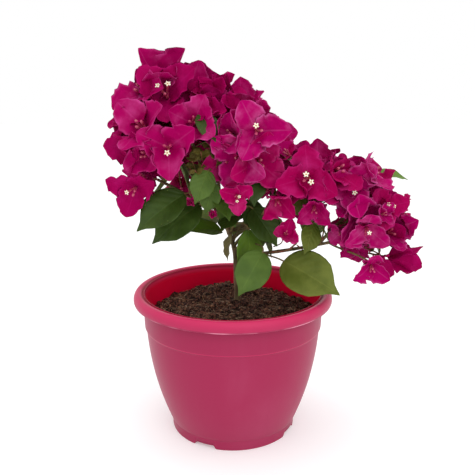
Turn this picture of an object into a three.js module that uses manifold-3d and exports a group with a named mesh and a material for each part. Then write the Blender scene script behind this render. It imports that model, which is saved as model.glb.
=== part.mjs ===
import * as THREE from 'three';
import { mergeVertices } from 'three/addons/utils/BufferGeometryUtils.js';
import Module from 'manifold-3d';

// A bougainvillea bush in a pink plastic pot. Millimetres, +Z up. The origin is the middle of
// the pot's underside, -Y is the front, and the longer bough reaches towards +X.

const wasm = await Module();
wasm.setup();
const { Manifold } = wasm;

const UP = new THREE.Vector3(0, 0, 1);
const ALONG_X = new THREE.Vector3(1, 0, 0);
const CLEARANCE = 0.3;          // left between neighbouring solids
const LEAST_GAP = 0.24;         // the same, less what the flat sides of round bars take
const MERGES = [0.2, 0.15, 0.1, 0.06, 0.03, 0.01]; // corners of a mass this near may become one
const GRID = 0.002;             // corners of a mass lie on this grid

// Pot
const POT_SIDES = 36;
const RIM_RADIUS = 100;         // widest, on the rolled rim
const RIM_WIDEST_Z = 138;
const RIM_HEM_Z = 134.6;        // lower edge of the roll
const RIM_HEM_RADIUS = 98;
const CREST_RADIUS = 95;
const POT_HEIGHT = 145;
const LIP_RADIUS = 89;          // small lip inside the roll
const LIP_Z = 144.1;
const GROOVE_RADIUS = 90.6;
const GROOVE_Z = 142.9;
const SHOULDER_RADIUS = 88.7;   // wall under the rim
const SHOULDER_Z = 132;
const BAND_Z = 109;             // step where the upper band stands proud
const BAND_PROUD = 1.5;
const BELLY = 2.16;             // how round the wall is
const ANKLE_RADIUS = 65.5;
const ANKLE_Z = 12;
const FOOT_RADIUS = 63.6;
const FOOT_INNER_RADIUS = 58;
const HUB_RADIUS = 34;          // flat disc in the middle of the underside
const CHANNEL_DEPTH = 4;        // raised channel between disc and foot ring
const POT_WALL = 2.4;
const FLOOR_THICKNESS = 2.4;
const NOTCH_COUNT = 4;
const NOTCH_WIDTH = 22;
const NOTCH_HEIGHT = 4;
const NOTCH_TURN = -116;        // degrees round from +X to the notch in front
const DRAIN_COUNT = 4;
const DRAIN_RADIUS = 3.5;

// Soil
const SOIL_EDGE_Z = 117;
const SOIL_CROWN_Z = 126;
const SOIL_BUMPS = 1.8;
const SOIL_HEAP = { at: [-8, 52], reach: [38, 20], height: 10 };   // behind the trunk
const SOIL_RINGS = [74, 56, 38, 20];

// Trunk and limbs
const TRUNK_FOOT = new THREE.Vector3(5, 19, SOIL_CROWN_Z + CLEARANCE);
const TRUNK_WAY = [
  [0, 0, -6], [-1.5, -2, 14], [-3.5, -7, 56], [-9, -11, 75], [-15, -13, 89], [-21, -15, 100],
];
const TRUNK_RADIUS = 2.7;
const TRUNK_END_RADIUS = 2.1;
const FLARE_RADIUS = 3.2;       // added at the ground, gone a few millimetres up
const FLARE_FADE = 14;
const BOUGH_END_RADIUS = 1.4;
const STEM_RADIUS = 1.1;
const STEM_END_RADIUS = 0.8;
const STEM_ROOT = 0.6;          // how far a stem starts inside the tip that carries it
const STEM_STEP = 6;            // from one stem to the next, back from a bough's tip
const STEM_TRIES = 24;
const STEM_SWING = 1.4;         // further aside with each try
const STEM_LEAST_SHARE = 0.8;   // of a stem that must be left when it is cut clear
const STALK_RADIUS = 0.9;       // of the stalks that leave a stem
const STALK_END_RADIUS = 0.8;
const TRUNK_MESH = [8, 10];     // sides and steps
const BOUGH_MESH = [5, 4];
const STEM_MESH = [3, 5];
const STALK_MESH = [3, 2];

// Flower heads: three papery bracts round three tube flowers
const BRACT_LENGTH = 34;
const BRACT_WIDTH = 29;
const BRACT_THICKNESS = 0.7;
const BRACT_ROOT = 1.2;         // sunk into the flower stalk
const BRACT_OFFSET = 0.25;      // out from the middle of the stalk
const BRACT_BEND = 0.35;        // tips of a closed head curl in, in radians
const BRACT_FLARE = -0.3;       // and those of an open one curl out
const FLARED_FROM = 0.8;        // how far open that is, in radians
const CUP_OPENING = [0.65, 1.1];
const STAR_OPENING = [1, 1.25];
const GROWN = [0.9, 1.1];       // least and greatest share of the full size
const FLOWER_LENGTH = 17;
const FLOWER_LEAN = 0.28;
const STAR_RADIUS = 3.2;
const HEAD_SPREAD = 24;         // from the lead head to those round it
const HEADS_FROM = 0.76;        // part of the way along the stem where the last stalk leaves
const HEADS_STEP = 0.13;        // and from one stalk to the next
const HEAD_BACK = [4, 14];      // how far behind the lead head they stand
const HEAD_TRIES = 6;
const GOLDEN_TURN = 2.39996;
const LEAD = 'lead head';
const BRACT_TRIES = [[0, 1], [0.35, 0.9], [-0.35, 0.9], [0, 0.7], [0.6, 0.8], [-0.6, 0.8], [0, 0.45]];

// Leaves
const LEAF_LENGTH = 42;
const LEAF_WIDTH_SHARE = 0.66;
const LEAF_THICKNESS = 0.9;
const PETIOLE_LENGTH = 9;
const PETIOLE_RADIUS = 0.8;
const LEAF_BEND = -0.35;
const LEAF_DROOP = 0.35;
const LEAF_FROM = [0.35, 0.8];  // part of the way along the stem
const LEAF_GROWN = [0.75, 1.1];
const LEAF_TRIES = 8;
const PLACED_TRIES = 12;
const PLACED_STEP = 2;

// The crown's two lobes, as ellipses in X and Z, and half of its depth
const CROWN_LOBES = [
  { middle: [-38, 292], reach: [86, 84], slope: 0 },
  { middle: [110, 228], reach: [74, 60], slope: -0.35 },
];
const CROWN_DEPTH = 90;
const LEAFY_BELOW = 240;        // leaves may hang out of the crown under this height

// Places along a blade where it has corners
const BRACT_STATIONS = [0, 0.3, 0.66, 1];
const LEAF_STATIONS = [0, 0.2, 0.46, 0.76, 1];

// Boughs leave the trunk or another bough part-way along it and arch to their tips.
const BOUGHS = [
  { name: 'bough_right_low', from: 'trunk', along: 0.5, tip: [104, -20, 200], arch: -4, foot: 2.0 },
  { name: 'bough_right_mid', from: 'trunk', along: 0.68, tip: [64, -10, 238], arch: 6, foot: 1.9 },
  { name: 'bough_back_right', from: 'trunk', along: 0.75, tip: [80, 18, 222], arch: 8, foot: 1.9 },
  { name: 'bough_low_centre', from: 'trunk', along: 0.6, tip: [26, -18, 222], arch: 2, foot: 1.7 },
  { name: 'bough_left', from: 'trunk', along: 0.85, tip: [-70, -24, 259], arch: 6, foot: 1.9 },
  { name: 'bough_right_up', from: 'trunk', along: 0.8, tip: [16, -8, 268], arch: 4, foot: 1.9 },
  { name: 'bough_back', from: 'trunk', along: 0.88, tip: [0, 28, 268], arch: 6, foot: 1.9 },
  { name: 'bough_back_left', from: 'trunk', along: 0.93, tip: [-50, 24, 266], arch: 6, foot: 1.9 },
  { name: 'bough_centre', from: 'trunk', along: 0.91, tip: [-16, -16, 288], arch: 0, foot: 1.9 },
  { name: 'bough_top', from: 'trunk', along: 1, tip: [-48, 2, 312], arch: 6, foot: 2.0 },
  { name: 'bough_left_up', from: 'trunk', along: 0.97, tip: [-66, -14, 296], arch: 4, foot: 1.9 },
  { name: 'bough_right_fork', from: 'bough_right_low', along: 0.8, tip: [114, -20, 228], arch: 4, foot: 1.6 },
];

// Sprays of flowers. The lead head's middle is at place and faces aim; heads and leaves are how
// many there are in all, and star opens the lead head's flowers. roll turns its bracts, in
// degrees, open is how far they lean out, in radians, and beside is the turn, in degrees, to
// where the next head stands; left out, the rule picks them.
const SPRAYS = [
  { name: 'spray_heart', from: 'bough_left_up', place: [-55, -60, 292], aim: [0, -1, 0.1],
    heads: 2, leaves: 1, star: true, beside: 37 },
  { name: 'spray_left_low', from: 'bough_left', place: [-87, -45, 255], aim: [-0.2, -0.9, -0.3],
    heads: 1, leaves: 0, star: true, roll: 30, size: 0.9 },
  { name: 'spray_left_tip', from: 'bough_left', place: [-82, -35, 291], aim: [-0.7, -0.7, 0],
    heads: 3, leaves: 1, roll: 0 },
  { name: 'spray_left_upper', from: 'bough_left_up', place: [-90, -22, 315], aim: [-0.4, -0.8, 0.4],
    heads: 3, leaves: 0, size: 0.75, roll: 45 },
  { name: 'spray_top_front', from: 'bough_left_up', place: [-58, -35, 334], aim: [-0.1, -0.8, 0.5],
    heads: 1, leaves: 0, star: true, roll: 20 },
  { name: 'spray_top', from: 'bough_top', place: [-63, -16, 343], aim: [0, -0.6, 0.8],
    heads: 4, leaves: 1, roll: 30, open: 0.6, size: 1.2 },
  { name: 'spray_centre_top', from: 'bough_top', place: [-20, -22, 325], aim: [0, -0.4, 0.9],
    heads: 3, leaves: 1, open: 0.4 },
  { name: 'spray_centre_front', from: 'bough_centre', place: [-34, -50, 312], aim: [0, -0.9, 0.3],
    heads: 2, leaves: 0, roll: 100, size: 0.85 },
  { name: 'spray_right_top', from: 'bough_centre', place: [9, -18, 323], aim: [0.1, -0.5, 0.8],
    heads: 3, leaves: 1, open: 0.6, roll: 85, beside: 10 },
  { name: 'spray_right_star', from: 'bough_right_up', place: [21, -55, 306], aim: [0.1, -1, 0.1],
    heads: 2, leaves: 1, star: true, roll: 60, beside: 300 },
  { name: 'spray_right_end', from: 'bough_right_up', place: [33, -20, 300], aim: [0.3, -0.9, 0.2],
    heads: 2, leaves: 1, roll: 60, open: 1, size: 0.8 },
  { name: 'spray_right_low', from: 'bough_right_up', place: [22, -45, 279], aim: [0.2, -0.9, -0.1],
    heads: 2, leaves: 1 },
  { name: 'spray_small_star', from: 'trunk', along: 0.99, place: [4, -60, 250], aim: [0, -0.9, -0.1],
    heads: 1, leaves: 0, size: 0.6, star: true },
  { name: 'spray_low_centre', from: 'bough_low_centre', place: [40, -45, 246], aim: [0.1, -0.7, -0.5],
    heads: 1, leaves: 1, size: 0.85, roll: 90, open: 0.7 },
  { name: 'spray_middle', from: 'bough_right_mid', place: [53, -30, 264], aim: [-0.1, -0.8, 0.3],
    heads: 2, leaves: 1, size: 0.7, roll: 30 },
  { name: 'spray_far_top', from: 'bough_right_mid', place: [80, -15, 264], aim: [0, -0.4, 0.9],
    heads: 3, leaves: 1, open: 0.5, roll: 0 },
  { name: 'spray_far_left_star', from: 'bough_right_mid', place: [68, -50, 265], aim: [-0.2, -0.9, 0],
    heads: 2, leaves: 0, star: true },
  { name: 'spray_far_left_low', from: 'bough_right_mid', place: [75, -42, 237], aim: [-0.1, -0.8, -0.4],
    heads: 1, leaves: 1, size: 0.75, roll: 90, open: 0.8 },
  { name: 'spray_far_star', from: 'bough_right_fork', place: [106, -50, 256], aim: [0, -1, 0.1],
    heads: 3, leaves: 1, star: true, beside: 250 },
  { name: 'spray_far_upper', from: 'bough_right_fork', place: [132, -14, 248], aim: [0.2, -0.4, 0.9],
    heads: 2, leaves: 1, open: 0.5, roll: 90 },
  { name: 'spray_far_right_star', from: 'bough_right_fork', place: [139, -42, 236], aim: [0.3, -0.9, 0.2],
    heads: 2, leaves: 0, star: true, size: 0.7, roll: 50 },
  { name: 'spray_far_low_star', from: 'bough_right_low', place: [122, -50, 219], aim: [0, -0.9, -0.4],
    heads: 2, leaves: 0, star: true, size: 0.75, roll: 90, beside: 285 },
  { name: 'spray_far_right', from: 'bough_right_fork', place: [148, -26, 209], aim: [0.3, -0.8, 0.3],
    heads: 1, leaves: 0, roll: 40, size: 1 },
  { name: 'spray_far_tip', from: 'bough_right_low', place: [151, -22, 184], aim: [1, -0.3, 0],
    heads: 2, leaves: 0, open: 0.35, size: 1.1 },
  { name: 'spray_hanging', from: 'bough_right_low', place: [128, -50, 183], aim: [0, -0.9, -0.4],
    heads: 1, leaves: 0, size: 0.72, roll: 90 },
  { name: 'spray_back_top', from: 'bough_top', place: [-42, 34, 330], aim: [-0.1, 0.7, 0.7],
    heads: 4, leaves: 1 },
  { name: 'spray_back_left', from: 'bough_back_left', place: [-86, 26, 296], aim: [-0.8, 0.5, 0.2],
    heads: 3, leaves: 2 },
  { name: 'spray_back_low', from: 'bough_back_left', place: [-58, 52, 266], aim: [-0.2, 0.9, 0],
    heads: 3, leaves: 2 },
  { name: 'spray_back_centre', from: 'bough_back', place: [-8, 54, 302], aim: [-0.1, 0.9, 0.3],
    heads: 4, leaves: 2 },
  { name: 'spray_back_right', from: 'bough_back', place: [32, 38, 276], aim: [0.6, 0.7, 0.1],
    heads: 3, leaves: 2 },
  { name: 'spray_far_back_left', from: 'bough_back_right', place: [72, 34, 256], aim: [-0.1, 0.8, 0.4],
    heads: 3, leaves: 1 },
  { name: 'spray_far_back', from: 'bough_back_right', place: [108, 36, 236], aim: [0.2, 0.9, 0.1],
    heads: 2, leaves: 1, beside: 90 },
  { name: 'spray_far_back_right', from: 'bough_right_fork', place: [142, 14, 214], aim: [0.7, 0.6, -0.1],
    heads: 3, leaves: 1 },
];

// Leafy shoots. Each placed leaf runs from its base to its tip and turns its face to face.
const SHOOTS = [
  { name: 'shoot_front', from: 'trunk', along: 0.78, face: [0.7, -0.7, 0.1], more: 0,
    placed: [[[15, -18, 209], [12, -34, 157]]] },
  { name: 'shoot_front_low', from: 'trunk', along: 0.56, face: [0.1, -0.9, 0.4], more: 0,
    placed: [[[28, -35, 191], [5, -60, 156]]] },
  { name: 'shoot_right', from: 'trunk', along: 0.46, face: [0.1, -0.9, 0.4], more: 0,
    placed: [[[50, -22, 179], [99, -60, 157]]] },
  { name: 'shoot_left', from: 'trunk', along: 0.87, face: [-0.2, -0.8, 0.6], more: 1,
    placed: [[[-31, -35, 237], [-74, -50, 203]], [[-44, -45, 248], [-86, -60, 217]]] },
  { name: 'shoot_centre', from: 'trunk', along: 0.73, face: [0.2, -0.9, 0.3], more: 3,
    placed: [[[17, -6, 226], [40, -20, 192]]] },
  { name: 'shoot_crown', from: 'trunk', along: 0.94, face: [0.1, -0.9, 0.4], more: 3,
    placed: [[[-22, -50, 270], [-33, -66, 243]], [[-17, -40, 258], [-25, -44, 230]],
      [[-8, -40, 263], [14, -42, 267]]] },
  { name: 'shoot_left_small', from: 'trunk', along: 0.82, face: [0, -0.5, 0.9], more: 0,
    placed: [[[-12, -6, 206], [-45, -26, 210]]] },
  { name: 'shoot_back', from: 'trunk', along: 0.72, face: [0, 0.7, 0.7], more: 2,
    placed: [[[-18, 34, 216], [-36, 62, 190]]] },
  { name: 'shoot_back_right', from: 'trunk', along: 0.63, face: [0.2, 0.7, 0.7], more: 3,
    placed: [[[26, 38, 212], [52, 60, 188]]] },
  { name: 'shoot_right_mid', from: 'bough_right_mid', face: [0.4, -0.8, 0.3], more: 1,
    placed: [[[77, -20, 216], [67, -38, 190]], [[67, -30, 243], [54, -34, 226]]] },
  { name: 'shoot_far_right', from: 'bough_right_fork', face: [0, -0.3, 0.9], more: 0,
    placed: [[[144, 5, 260], [174, 10, 254]]] },
];

const PLASTIC = new THREE.MeshStandardMaterial({ color: 0xb8415f, roughness: 0.45, metalness: 0 });
const EARTH = new THREE.MeshStandardMaterial({ color: 0x45302a, roughness: 1, metalness: 0 });
const BARK = new THREE.MeshStandardMaterial({ color: 0x6d5640, roughness: 0.9, metalness: 0 });
const BRACTS = new THREE.MeshStandardMaterial({ color: 0xb00060, roughness: 0.7, metalness: 0 });
const LEAVES = new THREE.MeshStandardMaterial({ color: 0x4f6f2e, roughness: 0.5, metalness: 0 });

const bush = new THREE.Group();
const limbs = new Map();        // name to curve, solid and a fatter solid to cut others clear
const placed = [];              // every finished piece, with its node and its group in the node

// A number from 0 to 1 that depends only on the seed and the index.
function chance(seed, index) {
  const wave = Math.sin(seed * 12.9898 + index * 78.233) * 43758.5453;
  return wave - Math.floor(wave);
}

function between(low, high, share) {
  return low + (high - low) * share;
}

// A chance number within a range.
function within([low, high], seed, index) {
  return between(low, high, chance(seed, index));
}

// Whether a point is inside the crown: one of two lobes seen from the front, cut off in depth.
function inCrown({ x, y, z }) {
  return Math.abs(y) < CROWN_DEPTH && CROWN_LOBES.some(({ middle, reach, slope }) => {
    const right = x - middle[0];
    const above = z - middle[1] - slope * right;
    return (right / reach[0]) ** 2 + (above / reach[1]) ** 2 < 1;
  });
}

// A turn given in degrees, or a chance one if none is given.
function radiansOr(degrees, seed, index) {
  return degrees === undefined ? chance(seed, index) * 2 * Math.PI : THREE.MathUtils.degToRad(degrees);
}

// A closed solid from a geometry: corners merged, empty faces dropped, faces turned outwards.
function solidOf(geometry) {
  geometry.deleteAttribute('normal');
  geometry.deleteAttribute('uv');
  const merged = mergeVertices(geometry, 1e-4);
  const vertProperties = new Float32Array(merged.attributes.position.array);
  const corner = (i) => new THREE.Vector3().fromArray(vertProperties, 3 * i);
  const faces = [];
  let volume = 0;
  for (let i = 0; i < merged.index.count; i += 3) {
    const [a, b, c] = merged.index.array.slice(i, i + 3);
    if (a !== b && b !== c && c !== a) {
      volume += corner(a).dot(corner(b).cross(corner(c)));
      faces.push(a, b, c);
    }
  }
  if (volume < 0) faces.reverse();
  const triVerts = new Uint32Array(faces);
  return new Manifold(new wasm.Mesh({ numProp: 3, vertProperties, triVerts }));
}

// The largest of a solid's separate bodies, without any hollow sealed inside it.
function largest(solid) {
  const bodies = solid.decompose();
  return bodies.reduce((best, body) => (body.volume() > best.volume() ? body : best));
}

// The largest body of a solid with its corners put on a fine grid, or nothing if an edge then
// no longer joins just two faces.
function onGrid(solid) {
  const { vertProperties, triVerts } = solid.getMesh();
  const geometry = new THREE.BufferGeometry();
  const rounded = vertProperties.map((v) => Math.round(v / GRID) * GRID);
  geometry.setAttribute('position', new THREE.BufferAttribute(rounded, 3));
  geometry.setIndex(new THREE.BufferAttribute(triVerts, 1));
  try {
    const body = largest(solidOf(geometry));
    return everyEdgeJoinsTwo(body.getMesh()) ? body : null;
  } catch {
    return null;
  }
}

function everyEdgeJoinsTwo({ vertProperties, triVerts }) {
  const onStep = (v) => Math.round(v / GRID);
  const spot = (i) => Array.from(vertProperties.slice(3 * i, 3 * i + 3), onStep).join();
  const edges = new Map();
  for (let i = 0; i < triVerts.length; i += 3) {
    for (let k = 0; k < 3; k += 1) {
      const ends = [spot(triVerts[i + k]), spot(triVerts[i + (k + 1) % 3])];
      const edge = ends.sort().join(' ');
      edges.set(edge, (edges.get(edge) ?? 0) + 1);
    }
  }
  return [...edges.values()].every((faces) => faces === 2);
}

function addNode(name, solid, material) {
  const mesh = solid.getMesh();
  const geometry = new THREE.BufferGeometry();
  geometry.setAttribute('position', new THREE.BufferAttribute(mesh.vertProperties, 3));
  geometry.setIndex(new THREE.BufferAttribute(mesh.triVerts, 1));
  geometry.computeVertexNormals();
  const node = new THREE.Mesh(geometry, material);
  node.name = name;
  bush.add(node);
}

function boxesApart(a, b) {
  const gap = 2 * CLEARANCE;
  return [0, 1, 2].some((i) => a.min[i] > b.max[i] + gap || b.min[i] > a.max[i] + gap);
}

function place(owner, solid, group = 'stem') {
  placed.push({ owner, solid, group, box: solid.boundingBox() });
}

// Whether a piece would come too near one of another node, or of another group in its own node.
// Only the node's own stem may run into it.
function clashes(piece, owner, group) {
  const box = piece.boundingBox();
  const mayTouch = (other) => other.owner === owner && (other.group === group || other.group === 'stem');
  return placed.some((other) => !mayTouch(other) && !boxesApart(box, other.box)
    && piece.minGap(other.solid, 2 * CLEARANCE) < LEAST_GAP);
}

// A solid cut 0.3 mm clear of the limbs laid before it.
function cutClear(solid) {
  const box = solid.boundingBox();
  let rest = solid;
  for (const other of limbs.values()) {
    if (!boxesApart(box, other.fat.boundingBox())) rest = rest.subtract(other.fat);
  }
  return rest.isEmpty() ? rest : largest(rest);
}

// A closed round bar of the given sides and steps, each point moved to where shape puts it.
function formed(sides, steps, shape) {
  const geometry = new THREE.CylinderGeometry(1, 1, 1, sides, steps);
  const points = geometry.attributes.position;
  const point = new THREE.Vector3();
  for (let i = 0; i < points.count; i += 1) {
    point.fromBufferAttribute(points, i);
    const row = Math.round((point.y + 0.5) * steps);
    const turn = Math.atan2(point.x, point.z);
    const reach = Math.hypot(point.x, point.z);
    shape(row, turn, reach, point);
    points.setXYZ(i, point.x, point.y, point.z);
  }
  return solidOf(geometry);
}

// A limb along a curve, radius given by the part of the way along, fatter all over by grow.
function limb(curve, radius, sides, steps, grow = 0) {
  const { tangents, normals, binormals } = curve.computeFrenetFrames(steps, false);
  return formed(sides, steps, (row, turn, reach, point) => {
    const size = (radius(row / steps) + grow) * reach;
    curve.getPointAt(row / steps, point);
    point.addScaledVector(normals[row], Math.cos(turn) * size);
    point.addScaledVector(binormals[row], Math.sin(turn) * size);
    if (row === 0) point.addScaledVector(tangents[0], -grow);
    if (row === steps) point.addScaledVector(tangents[steps], grow);
  });
}

function taper(foot, end) {
  return (part) => between(foot, end, part);
}

// A unit vector square to an axis, turned round it.
function aside(axis, turn) {
  const reference = Math.abs(axis.z) < 0.9 ? UP : ALONG_X;
  const side = new THREE.Vector3().crossVectors(axis, reference).normalize();
  const over = new THREE.Vector3().crossVectors(side, axis);
  return side.multiplyScalar(Math.cos(turn)).addScaledVector(over, Math.sin(turn));
}

// The part of a direction that is square to an axis, as a unit vector.
function squared(direction, axis) {
  return direction.clone().addScaledVector(axis, -direction.dot(axis)).normalize();
}

// Half-width of a pointed egg-shaped blade, 1 at its widest.
function bladeOutline(part) {
  return part ** 0.9 * (1 - part) ** 1.2 / 0.2383;
}

// A leaf or bract: flat across above, with a keel below, and bent evenly along its length.
function blade(root, chord, facing, { length, width, thickness, bend, stations }) {
  const square = squared(facing, chord);
  const along = chord.clone().multiplyScalar(Math.cos(bend / 2)).addScaledVector(square, -Math.sin(bend / 2));
  const face = square.clone().multiplyScalar(Math.cos(bend / 2)).addScaledVector(chord, Math.sin(bend / 2));
  const side = new THREE.Vector3().crossVectors(along, face);
  const last = stations.length - 1;
  return formed(3, last, (row, turn, reach, point) => {
    const part = stations[row];
    const inner = row > 0 && row < last ? reach : 0;
    const across = Math.sin(turn) / Math.sin(2 * Math.PI / 3) * inner * bladeOutline(part) * width / 2;
    const keel = Math.max(0, Math.cos(turn)) * inner * thickness;
    const bent = bend * part;
    point.copy(root);
    point.addScaledVector(along, length * Math.sin(bent) / bend + keel * Math.sin(bent));
    point.addScaledVector(face, length * (1 - Math.cos(bent)) / bend - keel * Math.cos(bent));
    point.addScaledVector(side, across);
  });
}

function bract(root, axis, turn, opening, size) {
  const out = aside(axis, turn);
  const chord = axis.clone().multiplyScalar(Math.cos(opening)).addScaledVector(out, Math.sin(opening));
  const facing = axis.clone().multiplyScalar(Math.sin(opening)).addScaledVector(out, -Math.cos(opening));
  const base = root.clone().addScaledVector(axis, -BRACT_ROOT).addScaledVector(out, BRACT_OFFSET);
  const solid = blade(base, chord, facing, {
    length: BRACT_LENGTH * size,
    width: BRACT_WIDTH * size,
    thickness: BRACT_THICKNESS,
    bend: opening > FLARED_FROM ? BRACT_FLARE : BRACT_BEND,
    stations: BRACT_STATIONS,
  });
  return { solid, tip: root.clone().addScaledVector(chord, BRACT_LENGTH * size) };
}

// An open tube flower, which leans out and widens to its star.
function flower(root, axis, turn, size) {
  const way = axis.clone().addScaledVector(aside(axis, turn), FLOWER_LEAN).normalize();
  const start = root.clone().addScaledVector(axis, -BRACT_ROOT);
  const end = root.clone().addScaledVector(way, FLOWER_LENGTH * size);
  return limb(new THREE.LineCurve3(start, end), taper(0, STAR_RADIUS * size), 4, 1);
}

// The pieces of a flower head that find room. A bract without room is tried closed and turned.
function flowerHead(owner, group, seed, root, axis, { size = 1, star = false, roll, open }) {
  const isLead = group === LEAD;
  const start = radiansOr(roll, seed, 1);
  const opening = open ?? within(star ? STAR_OPENING : CUP_OPENING, seed, 2);
  const grown = size * within(GROWN, seed, 3);
  const third = 2 * Math.PI / 3;
  const pieces = [];
  for (let k = 0; star && k < 3; k += 1) {
    const tube = flower(root, axis, start + k * third, grown);
    if (!clashes(tube, owner, group)) pieces.push(tube);
  }
  for (let k = 0; k < 3; k += 1) {
    for (const [turned, closed] of BRACT_TRIES) {
      const { solid, tip } = bract(root, axis, start + k * third + turned, opening * closed, grown);
      if ((isLead || inCrown(tip)) && !clashes(solid, owner, group)) {
        pieces.push(solid);
        break;
      }
    }
  }
  return pieces;
}

function leafBlade(root, chord, facing, length) {
  return blade(root, chord, facing, {
    length,
    width: length * LEAF_WIDTH_SHARE,
    thickness: LEAF_THICKNESS,
    bend: LEAF_BEND,
    stations: LEAF_STATIONS,
  });
}

// A leaf on its stalk, growing from a point of a stem. It is turned until it finds room.
function leafOnStem(owner, group, seed, stem) {
  const part = within(LEAF_FROM, seed, 1);
  const foot = stem.getPointAt(part);
  const way = stem.getTangentAt(part);
  const length = LEAF_LENGTH * within(LEAF_GROWN, seed, 2);
  for (let tries = 0; tries < LEAF_TRIES; tries += 1) {
    const out = aside(way, chance(seed, 3) * 2 * Math.PI + tries * GOLDEN_TURN);
    out.addScaledVector(way, 0.4).addScaledVector(UP, -0.2).normalize();
    const end = foot.clone().addScaledVector(out, PETIOLE_LENGTH);
    const stalk = limb(new THREE.LineCurve3(foot, end), taper(PETIOLE_RADIUS, PETIOLE_RADIUS), 3, 1);
    const chord = out.clone().addScaledVector(UP, -LEAF_DROOP).normalize();
    const facing = UP.clone().addScaledVector(out, 0.3);
    const green = leafBlade(end.clone().addScaledVector(out, -1), chord, facing, length);
    const tip = end.clone().addScaledVector(chord, length);
    const inside = tip.z < LEAFY_BELOW || inCrown(tip);
    if (inside && !clashes(stalk, owner, group) && !clashes(green, owner, group)) {
      return keep(owner, group, [stalk, green]);
    }
  }
  return [];
}

function keep(owner, group, pieces) {
  for (const piece of pieces) place(owner, piece, group);
  return pieces;
}

// The curve of a stem from the limb that carries it to its own end. The first stem on a bough
// goes on from its tip and the next ones leave just behind it.
function stemCurve(row, end, arrival, swing) {
  const { curve, stems } = limbs.get(row.from);
  const along = row.along ?? 1 - stems * STEM_STEP / curve.getLength();
  const way = curve.getTangentAt(along);
  const start = curve.getPointAt(along);
  const span = start.distanceTo(end);
  const sideways = squared(end.clone().sub(start), way);
  if (along === 1) start.addScaledVector(way, -STEM_ROOT);
  const departure = along === 1 ? way : way.clone().add(sideways).normalize();
  const first = start.clone().addScaledVector(departure, span * 0.35);
  first.addScaledVector(aside(way, swing.turn), swing.width);
  const second = end.clone().addScaledVector(arrival, -Math.min(14, span * 0.35));
  return new THREE.CubicBezierCurve3(start, first, second, end);
}

// Lays a stem that is cut clear only at its root, bowing it aside where something is in the way.
function layStem(row, seed, end, arrival) {
  const radius = taper(STEM_RADIUS, STEM_END_RADIUS);
  for (let tries = 0; tries < STEM_TRIES; tries += 1) {
    const swing = { turn: tries * GOLDEN_TURN + seed, width: STEM_SWING * tries };
    const curve = stemCurve(row, end, arrival, swing);
    const whole = limb(curve, radius, ...STEM_MESH);
    const solid = cutClear(whole);
    if (solid.volume() > STEM_LEAST_SHARE * whole.volume() && !clashes(solid, row.name, 'stem')) {
      const fat = limb(curve, radius, ...STEM_MESH, 2 * CLEARANCE);
      limbs.set(row.name, { curve, solid, fat, stems: 0 });
      limbs.get(row.from).stems += row.along ? 0 : 1;
      place(row.name, solid);
      return;
    }
  }
  throw new Error(`no room for the stem of ${row.name}`);
}

function wallRadius(z) {
  const share = THREE.MathUtils.clamp((z - ANKLE_Z) / (SHOULDER_Z - ANKLE_Z), 0, 1);
  return between(ANKLE_RADIUS, SHOULDER_RADIUS, 1 - (1 - share) ** BELLY);
}

// The inside of the pot from the middle of its floor up to the soil's edge, drawn in by inset.
function cavityProfile(inset) {
  const hubTop = FLOOR_THICKNESS + inset;
  const floorTop = CHANNEL_DEPTH + FLOOR_THICKNESS + inset;
  const hubInside = HUB_RADIUS - FLOOR_THICKNESS - inset;
  const inner = (z, proud) => wallRadius(z) + proud - POT_WALL - inset;
  return [
    [0, hubTop], [hubInside, hubTop], [hubInside, floorTop],
    [inner(ANKLE_Z, 0) - 2, floorTop],
    ...[ANKLE_Z, 48, BAND_Z - 1].map((z) => [inner(z, 0), z]),
    ...[BAND_Z + 1, SOIL_EDGE_Z].map((z) => [inner(z, BAND_PROUD), z]),
  ];
}

function potProfile() {
  const bandRadius = SHOULDER_RADIUS + BAND_PROUD;
  const outside = [
    [0, 0], [HUB_RADIUS, 0], [HUB_RADIUS, CHANNEL_DEPTH], [FOOT_INNER_RADIUS, CHANNEL_DEPTH],
    [FOOT_INNER_RADIUS, 0], [FOOT_RADIUS, 0], [FOOT_RADIUS, ANKLE_Z - 2.5],
    ...[ANKLE_Z, 30, 52, 78, BAND_Z].map((z) => [wallRadius(z), z]),
    [wallRadius(BAND_Z) + BAND_PROUD, BAND_Z + 0.8],
    [bandRadius, SHOULDER_Z],
    [bandRadius, GROOVE_Z - 1.4], [RIM_HEM_RADIUS - 0.4, GROOVE_Z - 1.4],
    [RIM_HEM_RADIUS, RIM_HEM_Z], [RIM_HEM_RADIUS + 1.4, RIM_HEM_Z],
  ];
  const roll = [];
  for (let k = 0; k <= 3; k += 1) {
    const turn = k * Math.PI / 6;
    roll.push([
      CREST_RADIUS + (RIM_RADIUS - CREST_RADIUS) * Math.cos(turn),
      RIM_WIDEST_Z + (POT_HEIGHT - RIM_WIDEST_Z) * Math.sin(turn),
    ]);
  }
  const lip = [
    [GROOVE_RADIUS + 1.8, POT_HEIGHT - 0.7], [GROOVE_RADIUS, GROOVE_Z], [LIP_RADIUS, LIP_Z],
    [bandRadius - POT_WALL, SHOULDER_Z],
  ];
  return [...outside, ...roll, ...lip, ...cavityProfile(0).reverse()];
}

function turnedSolid(profile) {
  const geometry = new THREE.LatheGeometry(profile.map(([r, z]) => new THREE.Vector2(r, z)), POT_SIDES);
  return geometry.rotateX(Math.PI / 2);
}

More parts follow.
